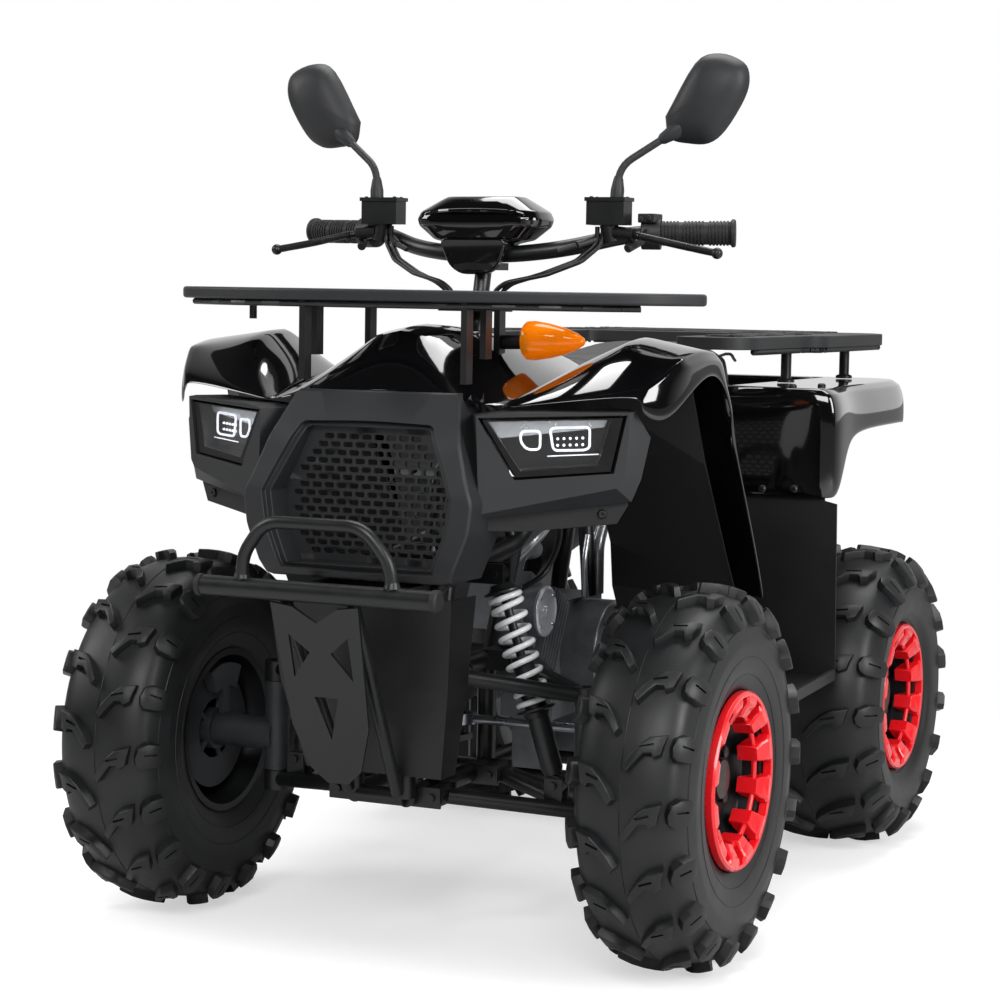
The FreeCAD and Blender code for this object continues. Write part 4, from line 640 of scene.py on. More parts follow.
    def piece(self, name: str, finish: Finish, body: Body, replaces: tuple = (), crisp: float = 35.0,
              wall: float = 0.0, bevel: float = 0.0, smooth: int = 0, crease: float = 0.0,
              holes: "Shape | None" = None, slot: str = "") -> bpy.types.Object:
        """Turns the shape into a finished piece that rides on a body.

        Args:
            name: the piece's name.
            finish: its finish.
            body: the body that it rides on.
            replaces: nodes of the model that it stands for.
            crisp: edges that turn by more degrees than this stay sharp.
            wall: thickness given to a skin, inwards.
            bevel: width of the rounded edges.
            smooth: levels of subdivision.
            crease: how tightly the subdivision keeps the crisp edges.
            holes: a closed shape that is cut out.
            slot: the record's material slot, where the piece replaces no node; not used.

        Returns:
            The piece.
        """
        bmesh.ops.remove_doubles(self.bm, verts=self.bm.verts[:], dist=0.02 * MM)
        bmesh.ops.recalc_face_normals(self.bm, faces=self.bm.faces[:])
        if crease:
            layer = self.bm.edges.layers.float.new("crease_edge")
            for edge in self.bm.edges:
                if edge.calc_face_angle(0.0) > math.radians(crisp):
                    edge[layer] = crease
        mark_edges(self.bm, 180 if smooth else crisp)
        thing = self.blank(name)
        thing.data.materials.append(WARDROBE.material(finish))
        if wall:
            shell = thing.modifiers.new("wall", "SOLIDIFY")
            shell.thickness = wall
            shell.offset = -1.0
        if smooth:
            rounds = thing.modifiers.new("rounds", "SUBSURF")
            rounds.levels = smooth
            rounds.render_levels = smooth
        if holes:
            cutter = holes.blank("cutter")
            carve = thing.modifiers.new("holes", "BOOLEAN")
            carve.operation = "DIFFERENCE"
            carve.object = cutter
            bake(thing, crisp)
            bpy.data.objects.remove(cutter)
        if bevel:
            edges = thing.modifiers.new("edges", "BEVEL")
            edges.width = bevel
            edges.segments = 3
            edges.limit_method = "ANGLE"
            edges.angle_limit = math.radians(crisp)
            edges.harden_normals = True
        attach(thing, body.value)
        if replaces:
            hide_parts(*replaces)
        LOG.info("made %s", name)
        return thing

    def blank(self, name: str) -> bpy.types.Object:
        """Makes an object of the shape, with no finish.

        Args:
            name: the object's name.

        Returns:
            The object.
        """
        bmesh.ops.recalc_face_normals(self.bm, faces=self.bm.faces[:])
        mesh = bpy.data.meshes.new(name)
        self.bm.to_mesh(mesh)
        self.bm.free()
        thing = bpy.data.objects.new(name, mesh)
        bpy.context.scene.collection.objects.link(thing)
        return thing


class TyreSurface:
    """The outer surface of a tyre's casing, measured along its section and round its crown."""

    def __init__(self, radius: float, half_width: float, lug: float) -> None:
        """Lays out the section from the crown to the bead.

        Args:
            radius: radius out to the lugs.
            half_width: half the width over the sidewalls.
            lug: height of the lugs.
        """
        crown = radius - lug
        bead = 102 * MM
        middle = bead + 0.45 * (radius - bead)
        corners = [(0, crown), (0.3, crown - 1 * MM), (0.58, crown - 5 * MM), (0.80, crown - 14 * MM),
                   (0.92, crown - 30 * MM), (0.99, middle + 12 * MM), (1.0, middle), (0.97, middle - 24 * MM),
                   (0.90, 124 * MM), (0.84, 114 * MM), (0.80, 110 * MM), (0.78, bead)]
        self.crown = crown
        self.points = smooth_curve([Vector((share * half_width, height)) for share, height in corners])
        self.lengths = [0.0]
        for before, after in zip(self.points, self.points[1:]):
            self.lengths.append(self.lengths[-1] + (after - before).length)

    def at(self, along: float, height: float) -> Vector:
        """A point of the section.

        Args:
            along: distance from the crown's middle along the section, on either side.
            height: distance above the casing.

        Returns:
            Offset from the wheel's middle plane, and radius.
        """
        reach = abs(along)
        index = min(max(bisect_left(self.lengths, reach), 1), len(self.lengths) - 1)
        before, after = self.points[index - 1], self.points[index]
        span = self.lengths[index] - self.lengths[index - 1]
        spot = before.lerp(after, (reach - self.lengths[index - 1]) / span)
        slope = (after - before).normalized()
        spot = spot + Vector((-slope.y, slope.x)) * height
        return Vector((math.copysign(spot.x, along), spot.y))


@dataclass
class Wheel:
    """A tyre with lugs on a black rim with a ring of red blocks."""

    name: str
    body: Body
    centre: Vector
    side: int
    radius: float
    half_width: float
    ring_face: float
    pitches: int
    # The lugs: height, how far their feet spread, how deep they are rooted, their rounding and their slits
    lug: float = 12 * MM
    lug_draft: float = 2.2 * MM
    lug_root: float = 2 * MM
    lug_round: float = 1.4 * MM
    slit_depth: float = 4 * MM
    # The casing's wall, the size of its ridges, and the blocks of the red ring
    wall: float = 9 * MM
    ridge: float = 0.7 * MM
    blocks: int = 12
    # A block from the lip inwards: (radius, half width, front), in millimetres
    block_rows: tuple = ((108, 18.5, -1), (101, 18, 0), (96, 14.5, 0), (88, 13, -5), (78, 9.5, -10))
    # One lug beside the middle and one on the shoulder: (along the section, round the crown), in millimetres
    inner_lug: tuple = ((5, -30), (12, -17), (22, -4), (33, 6), (50, 11), (47, -3), (45, -13), (38, -18),
                        (35, -13), (27, -14), (19, -24), (10, -37))
    inner_slit: tuple = ((22, -6), (37, -1), (38, -4), (23, -9))
    outer_lug: tuple = ((56, -3), (59, 10), (68, 16), (84, 14), (88, 4), (86, -14), (77, -19), (62, -19),
                        (57, -13))
    outer_slit: tuple = ((64, 2), (78, 1), (78, -2), (64, -1))
    # The half width that the lugs are drawn for, and the ridges' places in half widths along the section
    drawn_width: float = 74 * MM
    ridge_places: tuple = (1.209, 1.716, 2.015)
    # The red lip from the ring's face, (along, radius), and the rods: their circle, place and radius
    lip: tuple = ((-12, 104), (-12, 111), (-3, 111), (0, 108), (-1, 104), (-12, 104))
    rods: tuple = (86, -17, 3.6)
    # The black rim, (share of the half width, distance past that, radius), and its disc, (along, radius)
    rim_rows: tuple = ((-0.8, -2, 110), (-0.8, -2, 101), (-0.5, 0, 99), (-0.4, 0, 94), (0.3, 0, 94),
                       (0.5, 0, 99), (0.8, 0, 101), (0.8, 2, 110), (0.8, 0, 98), (0.5, 0, 96))
    disc_rows: tuple = ((8, 90), (2, 78), (8, 52), (8, 28), (22, 24), (24, 0.5))
    nuts: int = 4
    nut_circle: float = 40.0
    nut: tuple = ((0, 8), (8, 8), (10, 5), (10, 0.3))
    # The front hub and its brake disc, (along, radius), with the disc's spokes
    hub_rows: tuple = ((-46, 12), (-46, 28), (24, 28), (28, 27))
    brake_disc: tuple = ((-40, 40), (-40, 80), (-36.5, 80), (-36.5, 40), (-40, 40))
    spokes: int = 5
    spoke_ends: tuple = (26, 44)
    spoke_place: float = -38.0

    def lug_template(self, shape: Shape, outline: tuple, slit: tuple, stretch: float) -> None:
        """Adds one lug, flat, as (along, round, height).

        Args:
            shape: the mesh to add it to.
            outline: the lug's edge.
            slit: the slit in its top.
            stretch: scale of the pattern across the tread.
        """
        height = self.lug
        top = [shape.bm.verts.new((a * stretch * MM, r * MM, height)) for a, r in outline]
        cut = [shape.bm.verts.new((a * stretch * MM, r * MM, height)) for a, r in slit]
        rim = [shape.bm.edges.new(pair) for pair in zip(top, top[1:] + top[:1])]
        lips = [shape.bm.edges.new(pair) for pair in zip(cut, cut[1:] + cut[:1])]
        bmesh.ops.bridge_loops(shape.bm, edges=rim + lips)
        middle = sum((vertex.co for vertex in top), Vector()) / len(top)
        made = bmesh.ops.extrude_edge_only(shape.bm, edges=rim)["geom"]
        for vertex in vertices_of(made):
            draft = (vertex.co - middle).normalized() * self.lug_draft
            vertex.co = Vector((vertex.co.x + draft.x, vertex.co.y + draft.y, -self.lug_root))
        made = bmesh.ops.extrude_edge_only(shape.bm, edges=lips)["geom"]
        bmesh.ops.translate(shape.bm, verts=vertices_of(made), vec=(0, 0, -self.slit_depth))
        bmesh.ops.contextual_create(shape.bm, geom=edges_of(made))
        bmesh.ops.bevel(shape.bm, geom=rim, offset=self.lug_round, segments=2, profile=0.5, affect="EDGES",
                        material=-1)

    def tyre(self) -> bpy.types.Object:
        """Builds the casing and its tread.

        Returns:
            The tyre, in place of the model's.
        """
        surface = TyreSurface(self.radius, self.half_width, self.lug)
        stretch = self.half_width / self.drawn_width
        shape = Shape()
        self.lug_template(shape, self.inner_lug, self.inner_slit, stretch)
        self.lug_template(shape, self.outer_lug, self.outer_slit, stretch)
        pitch = FULL_TURN * self.radius / self.pitches
        twin = shape.copied(shape.everything())
        bmesh.ops.scale(shape.bm, vec=(-1, 1, 1), verts=twin)
        bmesh.ops.translate(shape.bm, verts=twin, vec=(0, pitch / 2, 0))
        pair = shape.everything()
        for index in range(1, self.pitches):
            bmesh.ops.translate(shape.bm, verts=shape.copied(pair), vec=(0, pitch * index, 0))
        for vertex in shape.bm.verts:
            spot = surface.at(vertex.co.x, vertex.co.z)
            angle = vertex.co.y / self.radius
            vertex.co = self.centre + Vector((spot.x, -spot.y * math.cos(angle), spot.y * math.sin(angle)))
        outside = [(point.x / MM, point.y / MM) for point in surface.points]
        section = [(-along, out) for along, out in reversed(outside)] + outside[1:]
        half = self.half_width / MM
        roof = (surface.crown - self.wall) / MM
        inside = [(-0.60 * half, 112), (-0.86 * half, 160), (-0.5 * half, roof), (0.5 * half, roof),
                  (0.86 * half, 160), (0.60 * half, 112)]
        shape.lathe(section + list(reversed(inside)) + section[:1], self.centre, Vector((1, 0, 0)), 96)
        self.ridges(shape, surface)
        return shape.piece(f"tyre_{self.name}_tread", RUBBER, self.body, (f"tyre_{self.name}",), crisp=28)

    def ridges(self, shape: Shape, surface: TyreSurface) -> None:
        """Adds the mould line on the crown and the thin ridges on the shoulders and sidewalls.

        Args:
            shape: the mesh to add them to.
            surface: the casing's surface.
        """
        spots = [0.0]
        for share in self.ridge_places:
            spots += [share * self.half_width, -share * self.half_width]
        for spot in spots:
            line = [surface.at(spot + side * self.ridge, height)
                    for side, height in ((-1, -0.3 * MM), (0, self.ridge), (1, -0.3 * MM))]
            shape.lathe([(point.x / MM, point.y / MM) for point in line], self.centre, Vector((1, 0, 0)), 96)

    def ring(self) -> bpy.types.Object:
        """Builds the red lip, its blocks and the rods between them.

        Returns:
            The red ring.
        """
        axis = Vector((self.side, 0, 0))
        face = self.ring_face / MM
        shape = Shape()
        shape.lathe([(face + along, out) for along, out in self.lip], self.centre, axis, 72)
        angles = [FULL_TURN * (index + 0.5) / self.blocks for index in range(self.blocks)]
        for angle in angles:
            self.block(shape, axis, angle)
        circle, place, thick = self.rods
        for angle in angles:
            after = angle + FULL_TURN / self.blocks
            ends = [self.spot(axis, turn, circle, face + place) for turn in (angle, after)]
            shape.tube(ends, thick * MM, sides=10)
        name = f"rim_{self.name}_ring"
        return shape.piece(name, RED_ENAMEL, self.body, (f"rim_{self.name}",), crisp=40, bevel=0.8 * MM)

    def spot(self, axis: Vector, angle: float, radius: float, along: float) -> Vector:
        """A point of the wheel at an angle, with its radius and its place along the axle in millimetres."""
        return self.centre + axis * along * MM + Vector((0, math.cos(angle), math.sin(angle))) * radius * MM

    def block(self, shape: Shape, axis: Vector, angle: float) -> None:
        """Adds one block of the ring: wide at the lip, stepped and narrow at its inner end.

        Args:
            shape: the mesh to add it to.
            axis: the axle's direction, outwards.
            angle: the block's place round the ring.
        """
        rows = []
        face = self.ring_face / MM
        for radius, half, front in self.block_rows:
            swing = half / radius
            corners = [(angle - swing, front - 27), (angle + swing, front - 27), (angle + swing, front - 3),
                       (angle + swing * 0.8, front), (angle - swing * 0.8, front), (angle - swing, front - 3)]
            rows.append([self.spot(axis, turn, radius, face + along) for turn, along in corners])
        shape.rows(rows, closed=True, caps=True)

    def barrel(self) -> bpy.types.Object:
        """Builds the black rim behind the ring, with its dished disc and hub nuts.

        Returns:
            The rim.
        """
        axis = Vector((self.side, 0, 0))
        half = self.half_width / MM
        disc = 24 if self.has_hub() else 46
        profile = [(share * half + past, out) for share, past, out in self.rim_rows]
        profile += [(disc + along, out) for along, out in self.disc_rows]
        shape = Shape()
        shape.lathe(profile, self.centre, axis, 64)
        for index in range(self.nuts):
            angle = FULL_TURN * (index + 0.5) / self.nuts
            shape.lathe(self.nut, self.spot(axis, angle, self.nut_circle, disc + 7), axis, 6)
        return shape.piece(f"rim_{self.name}_barrel", POWDER, self.body, slot="black_steel", crisp=40)

    def hub(self) -> None:
        """Builds the front wheel's hub and its brake disc, joined by spokes."""
        axis = Vector((self.side, 0, 0))
        shape = Shape()
        shape.lathe(self.hub_rows, self.centre, axis, 40)
        shape.lathe(self.brake_disc, self.centre, axis, 64)
        for index in range(self.spokes):
            angle = FULL_TURN * index / self.spokes
            ends = [self.spot(axis, angle, reach, self.spoke_place) for reach in self.spoke_ends]
            shape.tube(ends, 4 * MM, sides=8)
        shape.piece(f"rim_{self.name}_hub", DARK_CAST, self.body, slot="dark_cast", bevel=0.5 * MM)

    def has_hub(self) -> bool:
        """Whether this is a front wheel, which has its own hub."""
        return "front" in self.name

    def build(self) -> None:
        """Builds the tyre, the red ring, the black rim and, in front, the hub."""
        self.tyre()
        self.ring()
        self.barrel()
        if self.has_hub():
            self.hub()


@dataclass
class Spring:
    """A coil spring about a damper, from its lower seat to its upper one."""

    lower: Vector
    upper: Vector
    turns: float = 9.0
    coil_radius: float = 19.5 * MM
    wire_radius: float = 3.9 * MM

    def build(self, shape: Shape) -> None:
        """Adds the coil to a shape, with a close turn at each end.

        Args:
            shape: the mesh to add it to.
        """
        run = self.upper - self.lower
        axis = run.normalized()
        across = axis.orthogonal().normalized()
        close = self.wire_radius * 2.1
        made = bmesh.ops.create_circle(shape.bm, cap_ends=True, segments=10, radius=self.wire_radius)
        ring = made["verts"]
        up = Matrix((across, axis.cross(across), axis)).transposed()
        start = self.lower + across * self.coil_radius + axis * self.wire_radius
        face_turn = Matrix.Rotation(math.pi / 2, 3, "X")
        place = Matrix.Translation(start) @ (up @ face_turn).to_4x4()
        bmesh.ops.transform(shape.bm, matrix=place, verts=ring)
        section = ring + list({edge for vertex in ring for edge in vertex.link_edges})
        section += list({face for vertex in ring for face in vertex.link_faces})
        middle_rise = run.length - 2 * self.wire_radius - 2 * close
        for turns, rise in ((1.0, close), (self.turns - 2.0, middle_rise), (1.0, close)):
            steps = int(turns * 24)
            made = bmesh.ops.spin(shape.bm, geom=section, cent=self.lower, axis=axis,
                                  angle=FULL_TURN * turns, steps=steps, dvec=axis * rise / steps)
            section = made["geom_last"]


@dataclass
class Suspension:
    """Coil springs and dampers: one at each front wheel and one behind."""

    # Each unit: its upper eye, its lower eye and the direction of their pins
    units: tuple = (((100, -414, 478), (186, -414, 214), (0, 1, 0)),
                    ((-100, -414, 478), (-186, -414, 214), (0, 1, 0)),
                    ((0, 290, 580), (0, 300, 305), (1, 0, 0)))
    # Where the spring starts below the upper eye, and shares of the length: the spring's end above the lower
    # eye, and the body's start below the upper seat
    spring_start: float = 26 * MM
    spring_end: float = 0.36
    body_start: float = 0.3
    rod_radius: float = 6 * MM
    # Profiles, (along, radius); the body's are (share of the length, radius)
    seat: tuple = ((0, 7), (0, 25), (3, 25), (5, 18), (12, 15), (12, 7))
    body: tuple = ((0, 0.5), (0, 14), (0.53, 14), (0.56, 11))
    eye: tuple = ((-8, 5), (-8, 12), (8, 12), (8, 5), (-8, 5))

    def unit(self, wires: Shape, metal: Shape, top: Vector, foot: Vector, pin: Vector) -> None:
        """Adds one damper with its spring.

        Args:
            wires: the shape that takes the spring.
            metal: the shape that takes the damper.
            top: middle of the upper eye.
            foot: middle of the lower eye.
            pin: direction of both eyes.
        """
        run = (foot - top).normalized()
        length = (foot - top).length
        upper = top + run * self.spring_start
        lower = foot - run * self.spring_end * length
        Spring(lower, upper).build(wires)
        for place, out in ((upper, -1), (lower, 1)):
            metal.lathe(self.seat, place, run * out, 32)
        start = upper + run * self.body_start * length
        metal.tube([top + run * 8 * MM, start], self.rod_radius, bend=0.0)
        metal.lathe([(share * length / MM, out) for share, out in self.body], start, run, 32)
        for place in (top, foot):
            metal.lathe(self.eye, place, pin, 24)

    def build(self) -> None:
        """Builds the springs and the dampers."""
        wires, metal = Shape(), Shape()
        for top, foot, pin in self.units:
            self.unit(wires, metal, mm(*top), mm(*foot), mm(*pin))
        wires.piece("coil_springs_wire", WHITE_ENAMEL, Body.CHASSIS, ("coil_springs",), crisp=60)
        metal.piece("damper_bodies", POWDER, Body.CHASSIS, ("dampers",), bevel=0.6 * MM)


@dataclass
class Panels:
    """The lacquered hood and fenders, with their screws."""

    skin: float = 3.5 * MM
    # Rows from front to back, each from the middle outwards
    hood_rows: tuple = (
        ((0, -556, 712), (45, -556, 712), (104, -556, 708), (150, -556, 697)),
        ((0, -535, 748), (46, -535, 742), (104, -535, 716), (162, -535, 699)),
        ((0, -500, 786), (48, -500, 773), (110, -500, 728), (172, -500, 702)),
        ((0, -400, 800), (60, -400, 788), (120, -400, 742), (178, -400, 722)),
        ((0, -300, 784), (60, -300, 776), (120, -300, 744), (178, -300, 728)),
        ((0, -180, 774), (60, -180, 764), (116, -180, 736), (164, -180, 708)),
        ((0, -62, 742), (60, -62, 738), (100, -62, 716), (128, -62, 668)),
    )
    # Rows from the left fender's nose over the wheel and down behind it, each from the inner edge outwards
    fender_rows: tuple = (
        ((150, -553, 694), (195, -535, 700), (250, -518, 706), (318, -494, 713),
         (322, -492, 702), (322, -491, 690)),
        ((160, -520, 704), (205, -505, 718), (258, -492, 728), (334, -470, 730),
         (341, -466, 712), (342, -466, 675)),
        ((166, -430, 722), (210, -430, 748), (262, -430, 765), (348, -430, 757),
         (357, -430, 742), (358, -430, 708)),
        ((168, -370, 722), (212, -370, 756), (262, -370, 780), (352, -370, 768),
         (362, -370, 756), (362, -370, 738)),
        ((168, -325, 716), (212, -325, 752), (262, -325, 781), (354, -325, 763),
         (364, -325, 750), (364, -325, 732)),
        ((164, -262, 704), (212, -266, 722), (262, -272, 738), (350, -300, 706),
         (366, -300, 700), (370, -296, 690)),
        ((166, -238, 690), (215, -240, 690), (262, -246, 686), (352, -280, 650),
         (366, -286, 652), (370, -289, 652)),
        ((174, -195, 640), (218, -200, 630), (262, -207, 615), (354, -236, 590),
         (366, -245, 588), (370, -248, 588)),
        ((182, -150, 590), (222, -156, 570), (262, -165, 550), (356, -192, 517),
         (366, -199, 517), (370, -201, 517)),
        ((182, -112, 434), (222, -118, 434), (262, -127, 434), (358, -150, 434),
         (367, -154, 434), (370, -155, 434)),
    )
    # Lower edge of the rear fender's wall, from its front inner end round to the middle of the back
    rear_edge: tuple = (
        (156, 150, 544), (230, 150, 544), (310, 150, 544), (346, 151, 544), (362, 158, 544), (368, 176, 548),
        (358, 240, 606), (348, 300, 628), (344, 370, 634), (343, 441, 636), (340, 520, 636), (336, 600, 636),
        (326, 660, 634), (306, 702, 630), (280, 716, 628), (200, 718, 628), (100, 719, 628), (0, 720, 628),
    )
    deck: float = 703.0
    # How the wall rolls over into the deck: (inwards, height)
    rear_rise: tuple = ((0, 660), (2, 680), (8, 694), (20, 702), (44, 703))
    # The deck's opening for the seat: half width, front and back, and the heights of the lip round it
    bay: tuple = (190, 190, 646)
    bay_lips: tuple = (690, 655)
    rear_screws: tuple = ((259, 149, 556), (307, 149, 558), (285, 200, 703), (310, 260, 703))
    # The hood's hole for the steering column: middle, axis and profile
    hole_middle: tuple = (0, -275, 790)
    hole_axis: tuple = (0, 152, 640)
    hole_rows: tuple = ((-80, 0), (-80, 48), (80, 48), (80, 0))

    def hood(self) -> None:
        """Builds the hood with its raised middle and the hole for the steering column."""
        shape = Shape()
        shape.both_halves(self.hood_rows)
        hole = Shape()
        hole.lathe(self.hole_rows, mm(*self.hole_middle), mm(*self.hole_axis))
        shape.piece("hood_skin", LACQUER, Body.CHASSIS, ("hood",), crisp=22, wall=self.skin, smooth=2,
                    crease=0.75, holes=hole)

    def front_fenders(self) -> None:
        """Builds the two front fenders, each one sheet that folds down behind its wheel."""
        shape = Shape()
        shape.rows([[mm(*spot) for spot in row] for row in self.fender_rows])
        shape.mirror()
        shape.piece("front_fenders_skin", LACQUER, Body.CHASSIS, ("front_fenders",), crisp=24, wall=self.skin,
                    smooth=3, crease=0.6)

    def rear_fender(self) -> None:
        """Builds the rear fender: walls round the wheels, rolled over into a deck beside the seat."""
        edge = [mm(*spot) for spot in self.rear_edge]
        edge += mirrored(edge[:-1])
        half, front, back = self.bay
        inner = []
        for spot in edge:
            across, along = spot.x / MM, spot.y / MM
            inner.append(mm(max(min(across, half), -half), min(max(along, front), back), self.deck))
        wall_top = self.rear_rise[0][1] * MM
        rows = [edge, [Vector((spot.x, spot.y, (spot.z + wall_top) / 2)) for spot in edge]]
        for inset, height in self.rear_rise:
            row = []
            for spot, deck in zip(edge, inner):
                inward = Vector((deck.x - spot.x, deck.y - spot.y, 0)).normalized() * inset * MM
                row.append(Vector((spot.x + inward.x, spot.y + inward.y, height * MM)))
            rows.append(row)
        rows.append(inner)
        for lip in self.bay_lips:
            rows.append([Vector((spot.x, spot.y, lip * MM)) for spot in inner])
        shape = Shape()
        shape.rows(rows)
        shape.piece("rear_fender_skin", LACQUER, Body.CHASSIS, ("rear_fender",), crisp=30, wall=self.skin,
                    smooth=2, crease=0.8)

    def screws(self) -> None:
        """Adds the black button screws that hold the rear fender."""
        shape = Shape()
        for spot in self.rear_screws:
            on_deck = spot[2] > 600
            shape.screw(mm(*spot), Vector((0, 0, 1)) if on_deck else Vector((0, -1, 0)), 6)
        shape.mirror()
        shape.piece("fender_screws", SHEATH, Body.CHASSIS, slot="matte_black")

    def build(self) -> None:
        """Builds all panels."""
        self.hood()
        self.front_fenders()
        self.rear_fender()
        self.screws()


# The headlamps' plane: how fast it falls back with x, and the direction square to it, into the lamp
WING_SLOPE = 0.5784
WING_INWARD = Vector((-0.5007, 0.8656, 0))


def wing_plane(x: float, z: float, depth: float = 0.0) -> Vector:
    """A point of the left headlamp's slanting plane, pushed in by a depth, from millimetres."""
    return mm(x + WING_INWARD.x * depth, -600 + (x - 130) * WING_SLOPE + WING_INWARD.y * depth, z)


def sloping(x: float, steps: tuple) -> float:
    """Reads a line made of straight runs.

    Args:
        x: where it is read.
        steps: pairs of (x, value) at the runs' ends.

    Returns:
        The value at x.
    """
    for (start, low), (end, high) in zip(steps, steps[1:]):
        if x <= end:
            return low + (high - low) * max(x - start, 0) / (end - start)
    return steps[-1][1]


@dataclass
class Grille:
    """The six-cornered surround, bare where a badge would be, and the mesh panel set back in it."""

    rays: int = 120
    middle: float = 583.0
    back: float = -525.0
    # Left halves of the outlines, (x, height), and how far forward the face stands, (height, y)
    opening: tuple = ((84, 667), (122, 586), (116, 545), (98, 499))
    outer: tuple = ((112, 711), (146, 610), (157, 582), (152, 544), (127, 482))
    face: tuple = ((482, -607), (500, -617), (590, -617), (654, -599), (711, -560))
    rebate: float = 8.0
    rebate_depth: float = 9.0
    # The mesh: size of a brick, half size of its slot, the slot's corner radius and the least edge beside it
    mesh_front: float = -571.0
    mesh_wall: float = 5.0
    brick: tuple = (17.2, 10.2)
    slot: tuple = (6.75, 3.4)
    slot_round: float = 2.4
    edge: float = 4.5

    def corners(self, half: tuple) -> list:
        """All corners of an outline about the grille's middle, from its left half."""
        left = [Vector((x, z - self.middle)) for x, z in half]
        return left + [Vector((-spot.x, spot.y)) for spot in reversed(left)]

    def sampled(self, half: tuple, growth: float = 0.0) -> list:
        """Points of an outline at even angles round the grille's middle.

        Args:
            half: corners of the outline's left half, (x, z).
            growth: how far the points move outwards.

        Returns:
            Pairs of x and z in millimetres.
        """
        corners = self.corners(half)
        points = []
        for step in range(self.rays):
            angle = FULL_TURN * (step + 0.5) / self.rays
            heading = Vector((math.sin(angle), math.cos(angle)))
            for start, end in zip(corners, corners[1:] + corners[:1]):
                meeting = geometry.intersect_line_line_2d(Vector((0, 0)), heading * 1000, start, end)
                if meeting:
                    spot = meeting + heading * growth
                    points.append((spot.x, spot.y + self.middle))
                    break
        return points

    def surround(self) -> None:
        """Builds the surround, from its outer wall over its face and down into the opening."""
        outer = self.sampled(self.outer)
        rim = self.sampled(self.outer, -2.5)
        rebate = self.sampled(self.opening, self.rebate)
        opening = self.sampled(self.opening)
        rows = [[mm(x, self.back, z) for x, z in outer]]
        for outline, depth in ((outer, 3), (rim, 0), (rebate, 0), (rebate, self.rebate_depth),
                               (opening, self.rebate_depth)):
            rows.append([mm(x, sloping(z, self.face) + depth, z) for x, z in outline])
        rows.append([mm(x, self.back, z) for x, z in opening])
        shape = Shape()
        shape.rows(rows, closed=True)
        shape.piece("grille_surround_shell", ETCHED, Body.CHASSIS, ("grille_surround",), crisp=30,
                    bevel=1.2 * MM)

    def slot_fits(self, x: float, z: float) -> bool:
        """Whether a slot stays clear of the opening's edge.

        Args:
            x: the slot's middle.
            z: the slot's height.

        Returns:
            True where all four of its corners are far enough in.
        """
        corners = self.corners(self.opening)
        for side in (1, -1):
            for rise in (1, -1):
                spot = Vector((x + side * self.slot[0], z + rise * self.slot[1] - self.middle))
                for start, end in zip(corners, corners[1:] + corners[:1]):
                    along = (end - start).normalized()
                    if (spot - start).x * along.y - (spot - start).y * along.x < self.edge:
                        return False
        return True

    def tile(self, shape: Shape, x: float, z: float) -> None:
        """Adds one brick of the mesh, with its rounded slot where that fits.

        Args:
            shape: the mesh to add it to.
            x: the brick's middle.
            z: the brick's height.
        """
        wide, high = self.brick[0] / 2, self.brick[1] / 2
        corners = ((1, 1), (-1, 1), (-1, -1), (1, -1))
        rim = [shape.bm.verts.new(mm(x + side * wide, self.mesh_front, z + rise * high))
               for side, rise in corners]
        if not self.slot_fits(x, z):
            shape.bm.faces.new(rim)
            return
        slot = []
        bend = self.slot_round
        for quarter, (side, rise) in enumerate(corners):
            for step in range(4):
                angle = math.pi / 2 * (quarter + step / 3)
                spot = mm(x + side * (self.slot[0] - bend) + bend * math.cos(angle), self.mesh_front,
                          z + rise * (self.slot[1] - bend) + bend * math.sin(angle))
                slot.append(shape.bm.verts.new(spot))
        loops = [shape.bm.edges.new(pair) for loop in (rim, slot) for pair in zip(loop, loop[1:] + loop[:1])]
        bmesh.ops.bridge_loops(shape.bm, edges=loops)

    def mesh(self) -> None:
        """Builds the mesh panel: bricks trimmed to the opening and given their thickness."""
        shape = Shape()
        for row in range(-9, 10):
            for column in range(-8, 9):
                along = (column + 0.5 * (row % 2)) * self.brick[0]
                self.tile(shape, along, self.middle + row * self.brick[1])
        corners = self.corners(self.opening)
        for start, end in zip(corners, corners[1:] + corners[:1]):
            along = end - start
            bmesh.ops.bisect_plane(shape.bm, geom=shape.everything(), dist=0.01 * MM,
                                   plane_co=mm(start.x, self.mesh_front, start.y + self.middle),
                                   plane_no=Vector((-along.y, 0, along.x)), clear_outer=True)
        shape.push(shape.bm.faces[:], mm(0, self.mesh_wall, 0))
        shape.piece("grille_mesh_panel", ETCHED, Body.CHASSIS, ("grille_mesh",), crisp=40, bevel=0.5 * MM)

    def build(self) -> None:
        """Builds the surround and the mesh."""
        self.surround()
        self.mesh()


